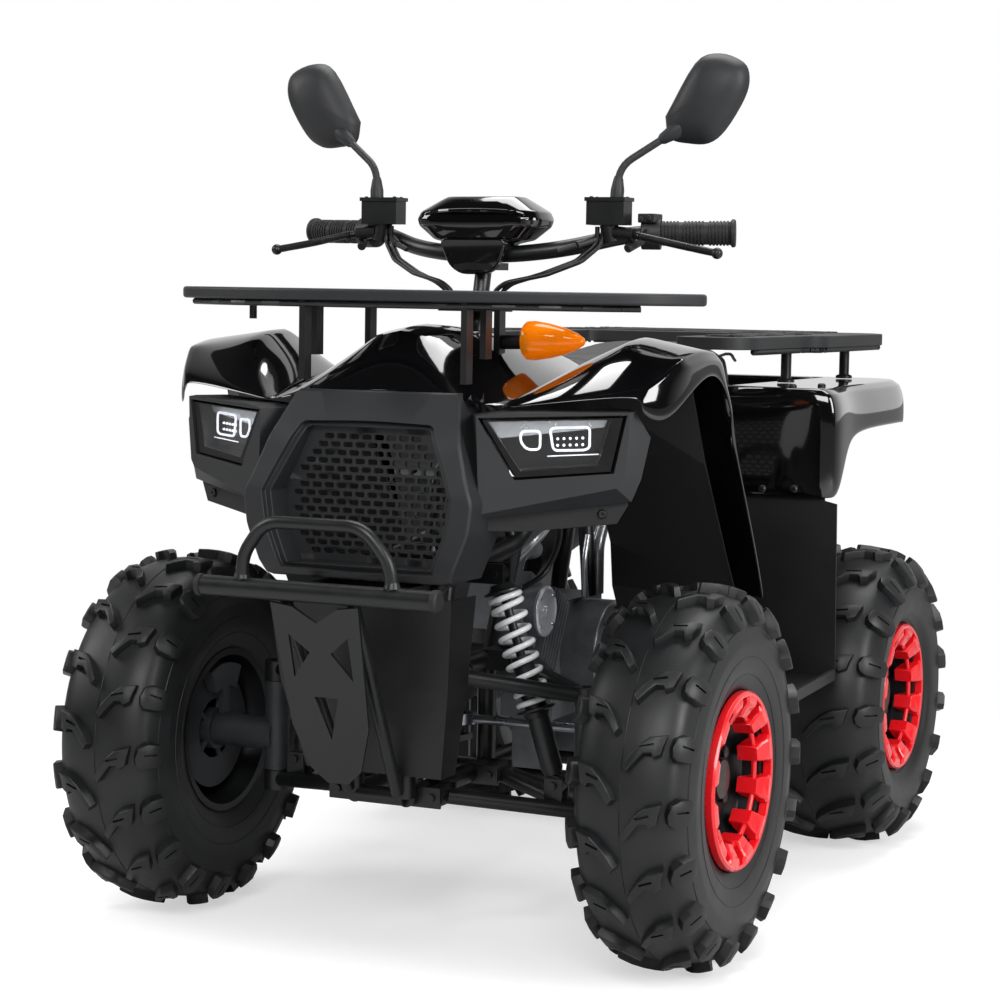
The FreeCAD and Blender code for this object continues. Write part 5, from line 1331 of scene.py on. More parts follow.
@dataclass
class Headlamps:
    """The wings beside the grille and the lamps in them, outlined in the wing's plane."""

    wing: tuple = ((148, 686), (180, 691), (310, 693), (308, 650), (304, 611), (296, 601), (152, 568))
    wing_side: tuple = ((148, 686), (180, 691), (316, 694), (333, 662), (324, 612), (314, 584), (152, 562))
    lamp: tuple = ((150, 684), (306, 689), (293, 619), (189, 610))
    bezel: tuple = ((155, 681), (302, 686), (290, 621), (191, 613))
    recess: tuple = ((161, 680), (290, 684), (277, 629), (196, 621))
    band: tuple = ((161, 680), (290, 684), (285, 673), (174, 658))
    lens_edge: tuple = ((158, 682), (300, 686), (289, 622), (191, 614))
    small_guide: tuple = ((197, 668), (217, 668.5), (217, 646), (203, 646), (196, 656))
    big_guide: tuple = ((227, 672), (269, 674), (269, 649), (264, 646), (231, 645))
    underside: tuple = ((150, 572), (298, 600), (312, 580), (300, 556), (205, 546), (150, 546))
    # The turn signal: its stalk, its middle and its profile, (along, radius); and the tail lamp's corners
    stalk: tuple = ((96, -400, 771), (132, -400, 772))
    signal_middle: tuple = (128, -400, 774)
    signal_rows: tuple = ((0, 0.5), (0, 22), (3, 24.5), (12, 25), (32, 22), (52, 17), (68, 11), (78, 5),
                          (81, 0))
    tail: tuple = ((-76, 690, 618), (76, 714, 663))

    def wing_prism(self, shape: Shape, outline: tuple, start: float, depth: float) -> None:
        """Adds a body of an outline in the wing's plane, from a start through a depth."""
        shape.prism([wing_plane(x, z, start) for x, z in outline], WING_INWARD * depth * MM)

    def wings(self) -> None:
        """Builds the panels round the lamps."""
        shape = Shape()
        loops = ((self.wing, 0), (self.wing_side, 14), (self.wing_side, 60))
        shape.rows([[wing_plane(x, z, depth) for x, z in outline] for outline, depth in loops], closed=True,
                   caps=True)
        shape.mirror()
        hole = Shape()
        self.wing_prism(hole, self.lamp, -6, 90)
        hole.mirror()
        shape.piece("front_cowl_panels", ETCHED, Body.CHASSIS, ("front_cowl",), crisp=22, bevel=1.5 * MM,
                    holes=hole)
        below = Shape()
        self.wing_prism(below, self.underside, 22, 26)
        below.screw(wing_plane(284, 568, 22), -WING_INWARD, 6)
        below.mirror()
        # painted shade: the undersides take the liner finish, darkened for parts in shadow
        below.piece("front_cowl_undersides", LINER_WITH_PAINTED_SHADE, Body.CHASSIS, slot="matte_black", bevel=3 * MM)

    def lamps(self) -> None:
        """Builds the lamps' dark bowls, bright bands, light outlines and lenses."""
        shape = Shape()
        self.wing_prism(shape, self.bezel, 3, 40)
        shape.mirror()
        hole = Shape()
        self.wing_prism(hole, self.recess, -3, 29)
        hole.mirror()
        shape.piece("headlights_bowl", LAMP_BLACK, Body.CHASSIS, ("headlights",), bevel=1 * MM, holes=hole)
        band = Shape()
        self.wing_prism(band, self.band, 21, 5)
        band.mirror()
        band.piece("headlights_band", REFLECTOR, Body.CHASSIS, slot="lamp_clear", bevel=2 * MM)
        guides = Shape()
        for outline in (self.small_guide, self.big_guide):
            path = [wing_plane(x, z, 18) for x, z in outline]
            middle = (path[0] + path[1]) / 2
            guides.tube([middle] + path[1:] + [path[0], middle], 1.5 * MM, bend=0.006, sides=8)
        guides.tube([wing_plane(225, 638, 20), wing_plane(279, 641, 20)], 0.7 * MM, sides=8)
        for column in range(5):
            for row in range(2):
                spot = wing_plane(236 + column * 6.6, 651 + row * 8 + column * 0.3, 24)
                guides.lathe([(0, 1.8), (2, 1.4), (3, 0)], spot, -WING_INWARD, 12)
        guides.mirror()
        guides.piece("headlights_guides", LIGHT_GUIDE, Body.CHASSIS, slot="lamp_clear")
        lens = Shape()
        self.wing_prism(lens, self.lens_edge, 3.4, 2)
        lens.mirror()
        lens.piece("headlights_lens", LENS, Body.CHASSIS, slot="lamp_clear", bevel=0.6 * MM)

    def signal(self) -> None:
        """Builds the amber turn signal on its stalk and the red tail lamp."""
        stalk = Shape()
        stalk.tube([mm(*spot) for spot in self.stalk], 9 * MM)
        stalk.piece("signal_stalk", GRIP, Body.CHASSIS, slot="matte_black", bevel=1 * MM)
        lens = Shape()
        lens.lathe(self.signal_rows, mm(*self.signal_middle), mm(1, 0, 0), 40)
        lens.piece("signal_lens", AMBER, Body.CHASSIS, ("signal_lamps",), crisp=50)
        tail = Shape()
        tail.block(*[mm(*corner) for corner in self.tail])
        tail.piece("tail_lens", TAIL_RED, Body.CHASSIS, slot="amber", bevel=5 * MM)

    def build(self) -> None:
        """Builds the wings and all lamps."""
        self.wings()
        self.lamps()
        self.signal()


@dataclass
class Racks:
    """The moulded front and rear racks."""

    # Left halves of both outlines, (x, y)
    front_half: tuple = ((0, -562), (120, -556), (232, -532), (322, -484), (363, -420), (367, -398),
                         (355, -384), (300, -366), (140, -346), (0, -342))
    rear_half: tuple = ((150, 62), (236, 62), (262, 92), (262, 330), (285, 356), (285, 668), (251, 724))
    seat_bay: float = 470.0
    # The front rack's slots by x; the rear rack's by y, across its deck and along its arms
    front_slots: tuple = (24, 134, 206)
    deck_slots: tuple = (510, 576, 642)
    arm_slots: tuple = (110, 240, 380)
    slot_round: float = 12 * MM
    rail: tuple = ((0, -553), (118, -547), (228, -523), (312, -478))
    legs: tuple = ((112, -542, 722), (118, -500, 752), (92, -404, 752))

    def slot(self, x: float, y: float, wide: float, deep: float) -> list:
        """The rounded outline of a slot in the rear rack, from one corner and its two sides."""
        corners = ((x, y), (x + wide, y), (x + wide, y + deep), (x, y + deep))
        return rounded_loop([mm(along, back, 740) for along, back in corners], self.slot_round)

    def front(self) -> None:
        """Builds the bowed slab with its slots, under-rail, legs and lashing peg."""
        left = smooth_curve([mm(x, y, 820.5) for x, y in self.front_half])
        shape = Shape()
        shape.prism(left + mirrored(left[1:-1]), mm(0, 0, 15))
        slots = Shape()
        for x in self.front_slots:
            corners = ((x, -524 + x / 8), (x + 50, -520 + x / 6), (x + 50, -386), (x, -384))
            slots.prism(rounded_loop([mm(*spot, 800) for spot in corners], self.slot_round), mm(0, 0, 60))
        slots.mirror()
        shape.piece("front_rack_slab", ETCHED, Body.CHASSIS, ("front_rack",), crisp=30, bevel=4.5 * MM,
                    holes=slots)
        below = Shape()
        below.tube(smooth_curve([mm(x, y, 816.5) for x, y in self.rail]), 4.2 * MM, bend=0.0, sides=8)
        for x, y, foot in self.legs:
            below.block(mm(x - 4, y - 9, foot), mm(x + 4, y + 9, 822))
        below.mirror()
        below.tube([mm(-271, -399, 822), mm(-271, -399, 794)], 5 * MM)
        below.piece("front_rack_legs", POWDER, Body.CHASSIS, slot="rack_black", bevel=1.2 * MM)

    def deck(self) -> None:
        """Builds the rear rack's side arms and slotted deck."""
        left = [mm(x, y, 757) for x, y in self.rear_half]
        outline = left + mirrored(left) + [mm(-150, self.seat_bay, 757), mm(150, self.seat_bay, 757)]
        shape = Shape()
        shape.prism(rounded_loop(outline, 20 * MM), mm(0, 0, 18))
        slots = Shape()
        for y in self.deck_slots:
            slots.prism(self.slot(-200, y, 400, 34), mm(0, 0, 60))
        for side in (1, -1):
            for y in self.arm_slots:
                slots.prism(self.slot(182 * side, y, 46 * side, 80), mm(0, 0, 60))
        shape.piece("rear_rack_deck", ETCHED, Body.CHASSIS, ("rear_rack",), crisp=30, bevel=4 * MM,
                    holes=slots)

    def ribs(self) -> None:
        """Builds the beads round the rear rack's slots and the rails under its edge."""
        shape = Shape()
        for y in self.deck_slots:
            shape.loop_tube(mm(0, y + 17, 775), mm(206, 0, 0), mm(0, 21, 0), 2.6 * MM)
        for side in (1, -1):
            for y in self.arm_slots:
                shape.loop_tube(mm(205 * side, y + 40, 775), mm(27, 0, 0), mm(0, 44, 0), 2.6 * MM)
        corners = [mm(x - 6, y + 4 if y < 400 else y - 5, 754) for x, y in self.rear_half[2:]]
        edge = rounded_loop(corners, 20 * MM)
        for side in (1, -1):
            rail = [Vector((spot.x * side, spot.y, spot.z)) for spot in edge[2:-2]]
            shape.tube(rail, 5 * MM, bend=0.0, sides=10)
        shape.tube([mm(-245, 719, 754), mm(245, 719, 754)], 5 * MM, sides=10)
        shape.piece("rear_rack_ribs", ETCHED, Body.CHASSIS, slot="rack_black")

    def posts(self) -> None:
        """Builds the posts that carry the rear rack."""
        shape = Shape()
        for x, y in ((228, 340), (240, 600)):
            shape.tube([mm(x, y, 704), mm(x, y, 760)], 8 * MM)
            shape.lathe([(0, 0.5), (0, 13), (4, 13), (6, 9)], mm(x, y, 704), mm(0, 0, 1))
        shape.mirror()
        shape.piece("rear_rack_posts", POWDER, Body.CHASSIS, slot="black_steel")

    def build(self) -> None:
        """Builds both racks."""
        self.front()
        self.deck()
        self.ribs()
        self.posts()


@dataclass
class Cockpit:
    """Dash pod, mirrors, handlebar, grips and levers."""

    # The pod's level sections: (height, half width, half depth); it leans back as it rises
    pod_rows: tuple = ((886, 34, 22), (898, 44, 28), (903, 66, 34), (921, 88, 41), (930, 91, 42),
                       (940, 86, 40), (955, 60, 30), (960, 52, 22))
    pod_middle: float = -258.0
    pod_lean: float = 0.10
    brow: tuple = ((-84, -276, 925), (-62, -292, 938), (0, -299, 941), (62, -292, 938), (84, -276, 925))
    window: tuple = ((-52, -214, 926), (52, -214, 926), (46, -222, 955), (-46, -222, 955))
    shield: tuple = ((-50, -296, 904), (50, -296, 904), (36, -292, 868), (20, -290, 857), (-20, -290, 857),
                     (-36, -292, 868))
    bar_path: tuple = ((316, -152, 916), (188, -190, 914), (108, -240, 892), (44, -256, 884))
    bar_radius: float = 11.0
    # A mirror's edge about its middle, (x, height), and how its back closes, (share of the edge, y)
    mirror_middle: tuple = (284, 0, 1090)
    mirror_edge: tuple = ((-57, -24), (-16, 46), (15, 58), (48, 46), (57, 26), (51, -1), (26, -41), (3, -58),
                          (-26, -58), (-51, -51))
    mirror_back: tuple = ((0.94, -180), (1.0, -183), (0.97, -192), (0.82, -203), (0.5, -210), (0.12, -212))
    stem: tuple = ((177, -228, 958), (179, -226, 1000), (252, -196, 1052))
    lever: tuple = ((196, -228, 912), (222, -236, 908), (270, -237, 898), (324, -245, 888))
    # Corners of the blocks: the bar's clamp, a reservoir, its lid and the throttle's
    clamp: tuple = ((-26, -271, 884), (26, -241, 896.5))
    reservoir: tuple = ((140, -243, 924), (193, -213, 955))
    lid: tuple = ((138, -245, 955), (195, -211, 960))
    throttle: tuple = ((198, -206, 928), (222, -176, 940))
    knob: tuple = ((0, 3.6), (4, 3.6), (5, 2.6), (5, 0.3))

    def pod(self) -> None:
        """Builds the dash pod with its brow, the display that faces the rider and the shield in front."""
        foot = self.pod_rows[0][0]
        rows = []
        for height, half, deep in self.pod_rows:
            middle = self.pod_middle + (height - foot) * self.pod_lean
            angles = [FULL_TURN * step / 32 for step in range(32)]
            rows.append([mm(half * squared(math.cos(angle)), middle + deep * squared(math.sin(angle)), height)
                         for angle in angles])
        shape = Shape()
        shape.rows(rows, closed=True, caps=True)
        shape.piece("dash_pod_shell", LACQUER, Body.STEERING, ("dash_pod",), crisp=22, bevel=2.5 * MM)
        window = Shape()
        window.prism(rounded_loop([mm(*spot) for spot in self.window], 10 * MM), mm(0, 3, 0.8))
        window.piece("dash_display", DISPLAY, Body.STEERING, slot="gloss_black", bevel=0.8 * MM)
        brow = Shape()
        brow.tube(smooth_curve([mm(*spot) for spot in self.brow]), 2.4 * MM, bend=0.0, sides=8)
        brow.piece("dash_brow", LACQUER, Body.STEERING, slot="gloss_black")
        shield = Shape()
        shield.prism(rounded_loop([mm(*spot) for spot in self.shield], 12 * MM), mm(0, 12, 0))
        shield.piece("dash_shield", LACQUER, Body.STEERING, slot="gloss_black", bevel=2.5 * MM)

    def mirrors(self) -> None:
        """Builds the mirrors' heads with their glass, stems and boots."""
        edge = smooth_curve([mm(x, 0, z) for x, z in self.mirror_edge + self.mirror_edge[:1]])[:-1]
        middle = mm(*self.mirror_middle)
        shape = Shape()
        shape.rows([[middle + spot * share + mm(0, y, 0) for spot in edge] for share, y in self.mirror_back],
                   closed=True, caps=True)
        foot, bend, head = [mm(*spot) for spot in self.stem]
        shape.tube([foot, bend, head], 5 * MM, bend=20 * MM, sides=12)
        shape.lathe([(0, 0.5), (0, 9), (12, 9), (26, 6.5), (30, 5)], foot, bend - foot, 24)
        shape.lathe([(-32, 5), (-28, 7.5), (-6, 11), (4, 11), (10, 0.5)], head, head - bend, 24)
        shape.mirror()
        shape.piece("mirror_heads", ETCHED, Body.STEERING, ("mirrors",), crisp=50)
        glass = Shape()
        glass.prism([middle + spot * 0.9 + mm(0, -180.4, 0) for spot in edge], mm(0, 1.6, 0))
        glass.mirror()
        glass.piece("mirror_glass", MIRROR, Body.STEERING, slot="matte_black", bevel=0.5 * MM)

    def bar(self) -> None:
        """Builds the handlebar and its clamp."""
        left = [mm(*spot) for spot in self.bar_path]
        shape = Shape()
        shape.tube(left + mirrored(left), self.bar_radius * MM, bend=30 * MM)
        shape.block(*[mm(*corner) for corner in self.clamp])
        shape.piece("handlebar_tube", POWDER, Body.STEERING, ("handlebar",), bevel=0.8 * MM)

    def grips(self) -> None:
        """Builds the ribbed rubber grips."""
        start, inner = mm(*self.bar_path[0]), mm(*self.bar_path[1])
        profile = [(0, 0.5), (0, 17), (1.5, 18.5), (5, 18.5), (6.5, 16)]
        for part in range(3):
            for ridge in range(6):
                at = 9 + part * 33 + ridge * 4.6
                profile += [(at, 15), (at + 0.4, 16.4), (at + 2.8, 16.4), (at + 3.2, 15)]
        profile += [(107, 15.5), (108, 19.5), (112, 19.5), (112, self.bar_radius)]
        shape = Shape()
        shape.lathe(profile, start, inner - start, 40)
        shape.mirror()
        shape.piece("grips_rubber", GRIP, Body.STEERING, ("grips",), crisp=30)

    def controls(self) -> None:
        """Builds brake perches with their reservoirs and levers."""
        start, inner = mm(*self.bar_path[0]), mm(*self.bar_path[1])
        shape = Shape()
        clamp = [(113, self.bar_radius), (113, 18), (123, 18), (123, self.bar_radius)]
        shape.lathe(clamp, start, inner - start, 32)
        for corners in (self.reservoir, self.lid):
            shape.block(*[mm(*corner) for corner in corners])
        shape.tube([mm(166, -228, 926), mm(172, -226, 902)], 12 * MM, bend=0.0)
        shape.tube([mm(176, -230, 914), mm(204, -232, 911)], 9 * MM, bend=0.0)
        lever = smooth_curve([mm(*spot) for spot in self.lever])
        shape.tube(lever, 5 * MM, bend=0.0, sides=12)
        bmesh.ops.create_uvsphere(shape.bm, u_segments=16, v_segments=10, radius=7.5 * MM,
                                  matrix=Matrix.Translation(lever[-1]))
        for x, y in ((145, -238), (188, -238), (145, -218), (188, -218)):
            shape.screw(mm(x, y, 960), Vector((0, 0, 1)), 2.4)
        shape.mirror()
        shape.piece("controls_levers", POWDER, Body.STEERING, ("controls",), bevel=1 * MM)

    def switches(self) -> None:
        """Builds the switch housing at the left, the throttle housing at the right and the adjusters."""
        shape = Shape()
        for side in (1, -1):
            shape.tube([mm(197 * side, -187, 914), mm(222 * side, -180, 914)], 21 * MM, bend=0.0, sides=24)
            shape.tube([mm(206 * side, -208, 905), mm(196 * side, -236, 893)], 6 * MM, bend=0.0)
            shape.tube([mm(150 * side, -232, 905), mm(132 * side, -254, 897)], 5 * MM, bend=0.0)
            shape.tube([mm(132 * side, -254, 897), mm(110 * side, -268, 889)], 3.4 * MM, bend=0.0)
        shape.block(*[mm(*corner) for corner in self.throttle])
        shape.piece("switch_housings", ETCHED, Body.STEERING, slot="black_alloy", bevel=1.6 * MM)
        knobs = Shape()
        for x, y, z in ((204, -206, 932), (215, -206, 934), (210, -202, 916)):
            knobs.lathe(self.knob, mm(x, y, z), mm(0, -1, 0), 16)
        knobs.piece("switch_knobs", GRIP, Body.STEERING, slot="black_alloy")

    def build(self) -> None:
        """Builds everything on the handlebar."""
        self.switches()
        self.pod()
        self.mirrors()
        self.bar()
        self.grips()
        self.controls()


@dataclass
class Seat:
    """The vinyl cushion with its piping."""

    # Sections from front to back: (y, half width, top)
    sections: tuple = ((-61.7, 101, 744), (38, 109, 738), (179, 130, 742), (360, 130, 764), (440, 117, 752))
    base: float = 632.8
    belly: float = 45.0
    shoulder: float = 12.0
    shrink: float = 4.0
    # The filling: voxel size, pressure inside, the most that a point may move, and the steps it is given
    grid: float = 6 * MM
    pressure: float = 4.0
    swell: float = 6 * MM
    frames: int = 20
    fullness: float = 0.6

    def fill(self, cushion: bpy.types.Object) -> None:
        """Blows the cushion up as cloth, with its foot held and its movement capped.

        Args:
            cushion: the cushion, in place of which its filled form stands.
        """
        even = cushion.modifiers.new("even", "REMESH")
        even.mode = "VOXEL"
        even.voxel_size = self.grid
        bake(cushion, 180)
        before = [vertex.co.copy() for vertex in cushion.data.vertices]
        cloth = cushion.modifiers.new("cloth", "CLOTH")
        cloth.settings.use_pressure = True
        cloth.settings.uniform_pressure_force = self.pressure
        cloth.settings.effector_weights.gravity = 0.0
        for frame in range(1, self.frames + 1):
            bpy.context.scene.frame_set(frame)
        blown = cushion.evaluated_get(bpy.context.evaluated_depsgraph_get())
        after = [vertex.co.copy() for vertex in blown.data.vertices]
        cushion.modifiers.clear()
        held = self.base * MM + 2 * self.grid
        for vertex, start, end in zip(cushion.data.vertices, before, after):
            push = end - start
            reach = min(push.length, self.swell if start.z > held else 0.0)
            vertex.co = start + push.normalized() * reach
        bpy.context.scene.frame_set(1)
        rounds = cushion.modifiers.new("rounds", "SUBSURF")
        rounds.levels = 1
        rounds.render_levels = 1

    def build(self) -> None:
        """Builds the cushion as a smoothed loft, fills it and adds the piping."""
        rows = []
        front, back = self.sections[0][0] + self.shrink, self.sections[-1][0] - self.shrink
        for y, half, top in self.sections:
            top -= self.shrink
            belly, shoulder = self.base + self.belly, top - self.shoulder
            spots = ((-0.74, self.base), (0.74, self.base), (1.0, belly), (0.9, shoulder), (0.55, top),
                     (0, top + 1), (-0.55, top), (-0.9, shoulder), (-1.0, belly))
            rows.append([mm(share * (half - self.shrink), min(max(y, front), back), z) for share, z in spots])
        shape = Shape()
        shape.rows(rows, closed=True, caps=True)
        cushion = shape.piece("seat_cushion", VINYL, Body.CHASSIS, ("seat",), crisp=50, smooth=3, crease=0.6)
        self.fill(cushion)
        piping = Shape()
        edge = [mm(0.95 * half, y, top - 20) for y, half, top in self.sections]
        piping.tube(smooth_curve(edge), 2.4 * MM, bend=0.0, sides=8)
        piping.mirror()
        piping.piece("seat_piping", VINYL, Body.CHASSIS, slot="seat_cover")


@dataclass
class Bumper:
    """The front bumper's bar with its hoop, brackets and struts."""

    bar: tuple = ((-157, -711, 477), (157, -711, 477))
    bar_radius: float = 12.5 * MM
    hoop: tuple = ((101, -711, 481), (99, -713, 517), (66, -718, 559))
    hoop_radius: float = 8 * MM
    # Profiles of the collar at the hoop's foot and of a bar's end cap, (along, radius)
    collar: tuple = ((0, 8), (0, 10.5), (5, 9), (8, 8))
    cap: tuple = ((155, 12), (155, 13.6), (161, 13.6), (163, 11), (163, 0.5))

    def build(self) -> None:
        """Builds the bumper's tubes."""
        shape = Shape()
        shape.tube([mm(*spot) for spot in self.bar], self.bar_radius, sides=24)
        left = [mm(*spot) for spot in self.hoop]
        shape.tube(left + mirrored(left), self.hoop_radius, bend=22 * MM)
        for side in (1, -1):
            shape.block(mm(62 * side - 6, -704, 464), mm(62 * side + 6, -553.8, 476))
            shape.tube([mm(46 * side, -705, 469), mm(34 * side, -560, 213)], 8 * MM, bend=0.0)
            shape.lathe(self.collar, mm(101 * side, -711, 488), mm(0, 0, 1), 24)
        shape.piece("front_bumper_tubes", POWDER, Body.CHASSIS, ("front_bumper",), bevel=0.8 * MM)
        caps = Shape()
        caps.lathe(self.cap, mm(0, -711, 477), mm(1, 0, 0), 32)
        caps.mirror()
        caps.piece("bumper_caps", GRIP, Body.CHASSIS, slot="black_steel")


@dataclass
class EngineTrim:
    """Machined faces, screws and pipes on the engine's left side."""

    # Rings on the upper and the lower cover: (distance from the cover, radius)
    upper_ring: tuple = ((0, 35), (3, 35), (5, 31), (3, 25), (2, 8), (6, 7), (6, 0.4))
    lower_ring: tuple = ((0, 75), (2, 75), (4, 71), (3, 60), (0, 58))
    filler: tuple = ((0, 14), (8, 14), (10, 11), (10, 0.4))
    # Bright and dark pipes: (radius, bend, points)
    bright_pipes: tuple = ((9, 30, ((20, -196, 470), (48, -180, 500), (56, -120, 540), (40, -60, 556))),
                           (9, 15, ((60, 30, 500), (60, 14, 475), (60, 15, 405))),
                           (4, 20, ((60, -24, 492), (62, -42, 458), (60, -28, 405))))
    dark_pipes: tuple = ((4, 30, ((34, -210, 430), (70, -196, 452), (74, -150, 500), (30, -90, 575))),
                         (5, 30, ((-20, -100, 520), (14, -150, 545), (10, -226, 590))),
                         (11, 30, ((56, -6, 404), (54, -6, 440), (46, -2, 520), (40, 10, 575))))

    def pipes(self, shape: Shape, runs: tuple) -> None:
        """Adds pipes to a shape.

        Args:
            shape: the mesh to add them to.
            runs: radius, bend and points of each pipe.
        """
        for radius, bend, points in runs:
            shape.tube([mm(*spot) for spot in points], radius * MM, bend=bend * MM)

    def build(self) -> None:
        """Builds the cover's rings, the screws and the pipes."""
        outward = mm(1, 0, 0)
        faces = Shape()
        faces.lathe(self.upper_ring, mm(60, -174, 400), outward, 48)
        faces.lathe(self.lower_ring, mm(90, 5, 322), outward, 64)
        self.pipes(faces, self.bright_pipes)
        faces.piece("engine_machined_faces", MACHINED, Body.CHASSIS, slot="engine_alloy", bevel=0.4 * MM)
        screws = Shape()
        for index in range(8):
            angle = FULL_TURN * index / 8
            screws.screw(mm(93, 5 + 66 * math.cos(angle), 322 + 66 * math.sin(angle)), outward, 5)
        for index in range(4):
            angle = FULL_TURN * (index + 0.5) / 4
            screws.screw(mm(63, -174 + 28 * math.cos(angle), 400 + 28 * math.sin(angle)), outward, 3.5)
        screws.piece("engine_screws", ZINC, Body.CHASSIS, slot="bright_steel")
        dark = Shape()
        dark.lathe(self.filler, mm(92, -30, 286), outward, 24)
        self.pipes(dark, self.dark_pipes)
        dark.piece("engine_cap_and_leads", SHEATH, Body.CHASSIS, slot="cable_rubber")


@dataclass
class Studio:
    """Camera, lamps, floor and background."""

    lens: float = 90.0
    eye: tuple = (1420.7, -3286.1, 837.9)
    yaw: float = 24.68
    pitch: float = 4.82
    roll: float = 0.9
    fill: float = 0.35
    floor_lift: float = 0.55
    # Distances from the middle, in metres, between which the floor fades to white
    fade: tuple = (0.75, 1.7)
    # What glossy surfaces see: from dark ahead to bright behind, between two shares of the way back
    glossy_span: tuple = (0.15, 0.75)
    glossy_light: tuple = (0.02, 0.7)
    # Soft boxes: name, place, size and power
    boxes: tuple = (("front_box", (1.2, -4.2, 3.0), (2.4, 1.6), 110),
                    ("right_box", (-3.4, -1.6, 2.6), (1.6, 2.0), 60),
                    ("left_box", (3.8, -1.2, 2.0), (1.6, 2.0), 110),
                    ("top_box", (0.0, 0.9, 4.0), (3.0, 2.0), 110))

    def camera(self) -> None:
        """Sets the camera where the photograph was taken from."""
        yaw, pitch, roll = (math.radians(angle) for angle in (self.yaw, self.pitch, self.roll))
        ahead = Vector((-math.sin(yaw) * math.cos(pitch), math.cos(yaw) * math.cos(pitch), -math.sin(pitch)))
        right = Vector((math.cos(yaw), math.sin(yaw), 0))
        up = right.cross(ahead)
        tilted = right * math.cos(roll) + up * math.sin(roll)
        upright = up * math.cos(roll) - right * math.sin(roll)
        data = bpy.data.cameras.new("camera")
        data.lens = self.lens
        data.sensor_width = 36.0
        data.clip_end = 100
        camera = bpy.data.objects.new("camera", data)
        turn = Matrix((tilted, upright, -ahead)).transposed().to_4x4()
        camera.matrix_world = Matrix.Translation(mm(*self.eye)) @ turn
        bpy.context.scene.collection.objects.link(camera)
        bpy.context.scene.camera = camera

    def lamp(self, name: str, place: Vector, size: tuple, power: float) -> None:
        """Adds a soft box that faces the machine.

        Args:
            name: the lamp's name.
            place: where it stands, in metres.
            size: its width and height.
            power: its power in watts.
        """
        data = bpy.data.lights.new(name, "AREA")
        data.shape = "RECTANGLE"
        data.size, data.size_y = size
        data.energy = power
        lamp = bpy.data.objects.new(name, data)
        aim = (Vector((0, 0, 0.5)) - place).to_track_quat("-Z", "Y")
        lamp.matrix_world = Matrix.Translation(place) @ aim.to_matrix().to_4x4()
        bpy.context.scene.collection.objects.link(lamp)

    def backdrop(self) -> None:
        """Lays the floor: it keeps the shadow under the machine and fades to pure white further out."""
        shape = Shape()
        bmesh.ops.create_grid(shape.bm, x_segments=2, y_segments=2, size=30.0)
        floor = shape.blank("floor")
        material = bpy.data.materials.new("studio_floor")
        material.use_nodes = True
        tree = material.node_tree
        tree.nodes.clear()
        matt = add_node(tree, "ShaderNodeBsdfDiffuse", {"Color": linear("#C8C8C8")})
        lift = add_node(tree, "ShaderNodeEmission", {"Color": (1, 1, 1, 1), "Strength": self.floor_lift})
        both = add_node(tree, "ShaderNodeAddShader", links={0: matt.outputs[0], 1: lift.outputs[0]})
        place = add_node(tree, "ShaderNodeTexCoord").outputs["Object"]
        reach = add_node(tree, "ShaderNodeVectorMath", links={"Vector": place}, operation="LENGTH")
        fade = add_node(tree, "ShaderNodeMapRange", {"From Min": self.fade[0], "From Max": self.fade[1]},
                        {"Value": reach.outputs["Value"]}, interpolation_type="SMOOTHSTEP")
        white = add_node(tree, "ShaderNodeEmission", {"Color": (1, 1, 1, 1), "Strength": 1.0})
        seen = add_node(tree, "ShaderNodeMixShader",
                        links={0: fade.outputs["Result"], 1: both.outputs[0], 2: white.outputs[0]})
        path = add_node(tree, "ShaderNodeLightPath")
        mix = add_node(tree, "ShaderNodeMixShader",
                       links={0: path.outputs["Is Camera Ray"], 1: matt.outputs[0], 2: seen.outputs[0]})
        add_node(tree, "ShaderNodeOutputMaterial", links={"Surface": mix.outputs[0]})
        floor.data.materials.append(material)

    def world(self) -> None:
        """White for the camera; glossy surfaces see white behind the machine and dark in front of it."""
        world = bpy.data.worlds.new("studio")
        world.use_nodes = True
        tree = world.node_tree
        tree.nodes.clear()
        path = add_node(tree, "ShaderNodeLightPath")
        seen = add_node(tree, "ShaderNodeMath", operation="MAXIMUM",
                        links={0: path.outputs["Is Camera Ray"], 1: path.outputs["Is Transmission Ray"]})
        heading = add_node(tree, "ShaderNodeTexCoord").outputs["Generated"]
        parts = add_node(tree, "ShaderNodeSeparateXYZ", links={"Vector": heading})
        (start, end), (dark, bright) = self.glossy_span, self.glossy_light
        behind = add_node(tree, "ShaderNodeMapRange",
                          {"From Min": start, "From Max": end, "To Min": dark, "To Max": bright},
                          {"Value": parts.outputs["Y"]})
        glossy = add_node(tree, "ShaderNodeBackground", {"Color": (1, 1, 1, 1)},
                          {"Strength": behind.outputs["Result"]})
        soft = add_node(tree, "ShaderNodeBackground", {"Color": (1, 1, 1, 1), "Strength": self.fill})
        light = add_node(tree, "ShaderNodeMixShader",
                         links={0: path.outputs["Is Glossy Ray"], 1: soft.outputs[0], 2: glossy.outputs[0]})
        white = add_node(tree, "ShaderNodeBackground", {"Color": (1, 1, 1, 1), "Strength": 1.0})
        mix = add_node(tree, "ShaderNodeMixShader",
                       links={0: seen.outputs[0], 1: light.outputs[0], 2: white.outputs[0]})
        add_node(tree, "ShaderNodeOutputWorld", links={"Surface": mix.outputs[0]})
        bpy.context.scene.world = world

    def build(self) -> None:
        """Sets up the whole studio."""
        bpy.context.scene.view_settings.view_transform = "Standard"
        self.camera()
        self.world()
        self.backdrop()
        for name, place, size, power in self.boxes:
            self.lamp(name, Vector(place), size, power)


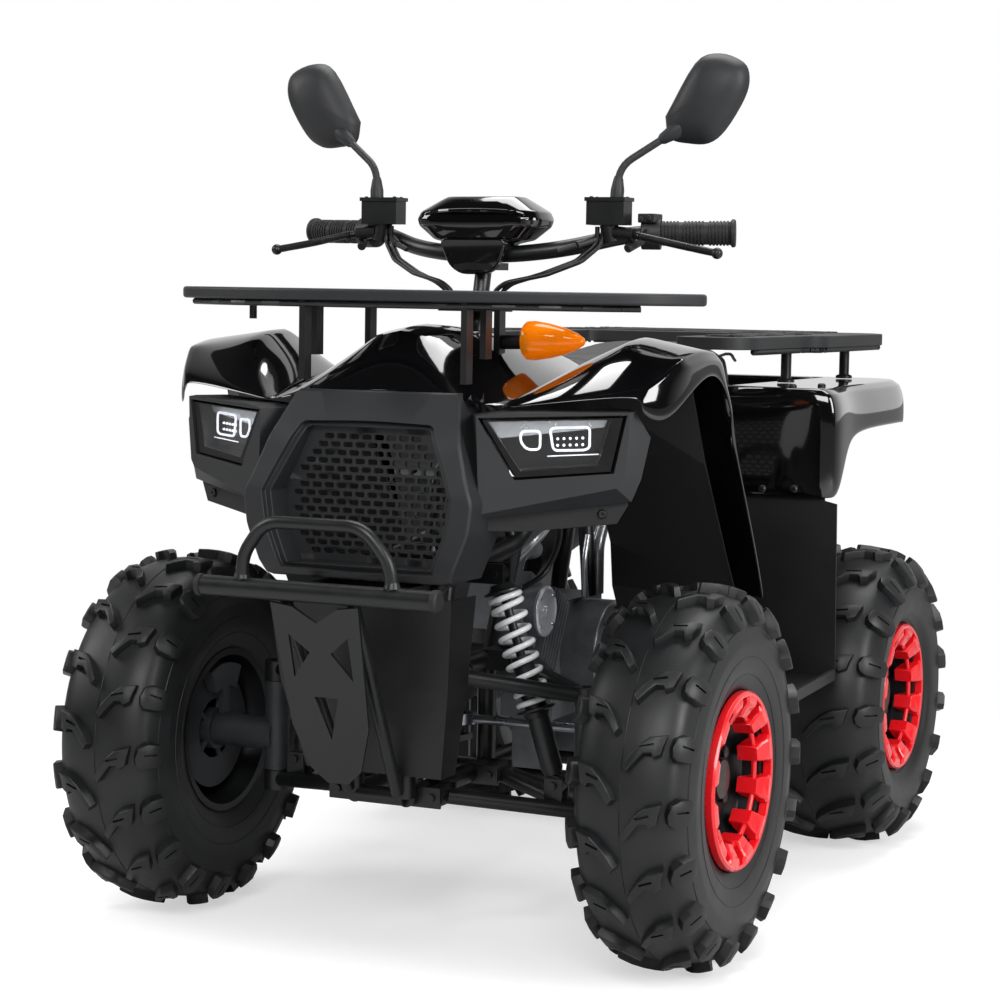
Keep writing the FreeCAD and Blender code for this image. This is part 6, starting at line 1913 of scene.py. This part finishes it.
class Nodes:
    """The model's own pieces that stay in view, and their finishes."""

    FINISHES = {
        POWDER: ("front_arms", "dampers", "frame", "swingarm", "steering_column", "handlebar", "front_bumper",
                 "skid_plate", "controls"),
        DARK_CAST: ("knuckle_left", "knuckle_right"),
        ZINC: ("tie_rod_left", "tie_rod_right", "rear_axle", "drive_chain"),
        CAST: ("engine",),
        HEAT_PAINT: ("exhaust",),
        GRIP: ("grips",),
        SHEATH: ("cables",),
        ETCHED: ("mirrors", "grille_surround", "grille_mesh", "front_cowl", "front_rack", "rear_rack"),
        # painted shade: the chin guard, arch liners and footwells take the liner finish, darkened because
        # they sit in shadow
        LINER_WITH_PAINTED_SHADE: ("chin_guard", "arch_liners", "footwells"),
        LACQUER: ("dash_pod", "hood", "front_fenders", "rear_fender"),
        VINYL: ("seat",),
        LENS: ("headlights",),
        AMBER: ("signal_lamps",),
    }

    def __init__(self, nodes: dict) -> None:
        """Keeps the model's nodes by name."""
        self.nodes = nodes

    def build(self) -> None:
        """Gives every node its finish."""
        for finish, names in self.FINISHES.items():
            for name in names:
                slots = self.nodes[name].data.materials
                slots.clear()
                slots.append(WARDROBE.material(finish))
                LOG.info("dressed %s in %s", name, finish.name)


def main() -> None:
    """Builds the looks."""
    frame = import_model()
    Studio().build()
    Nodes(frame["nodes"]).build()
    # Name, body, middle, side, radius, half width, face of the ring and pitches of the tread
    wheels = (
        ("front_left", Body.WHEEL_FRONT_LEFT, (360.5, -408, 241), 1, 241, 74, 74, 18),
        ("front_right", Body.WHEEL_FRONT_RIGHT, (-360.5, -408, 241), -1, 241, 74, 74, 18),
        ("rear_left", Body.REAR_AXLE, (310.5, 408, 228), 1, 228, 105.5, 97, 17),
        ("rear_right", Body.REAR_AXLE, (-310.5, 408, 228), -1, 228, 105.5, 97, 17),
    )
    for name, body, centre, side, radius, half, face, pitches in wheels:
        Wheel(name, body, mm(*centre), side, radius * MM, half * MM, face * MM, pitches).build()
    Suspension().build()
    Panels().build()
    Grille().build()
    Headlamps().build()
    Racks().build()
    Cockpit().build()
    Seat().build()
    Bumper().build()
    EngineTrim().build()


if __name__ == "__main__":
    logging.basicConfig(level=logging.INFO, format="%(message)s")
    main()
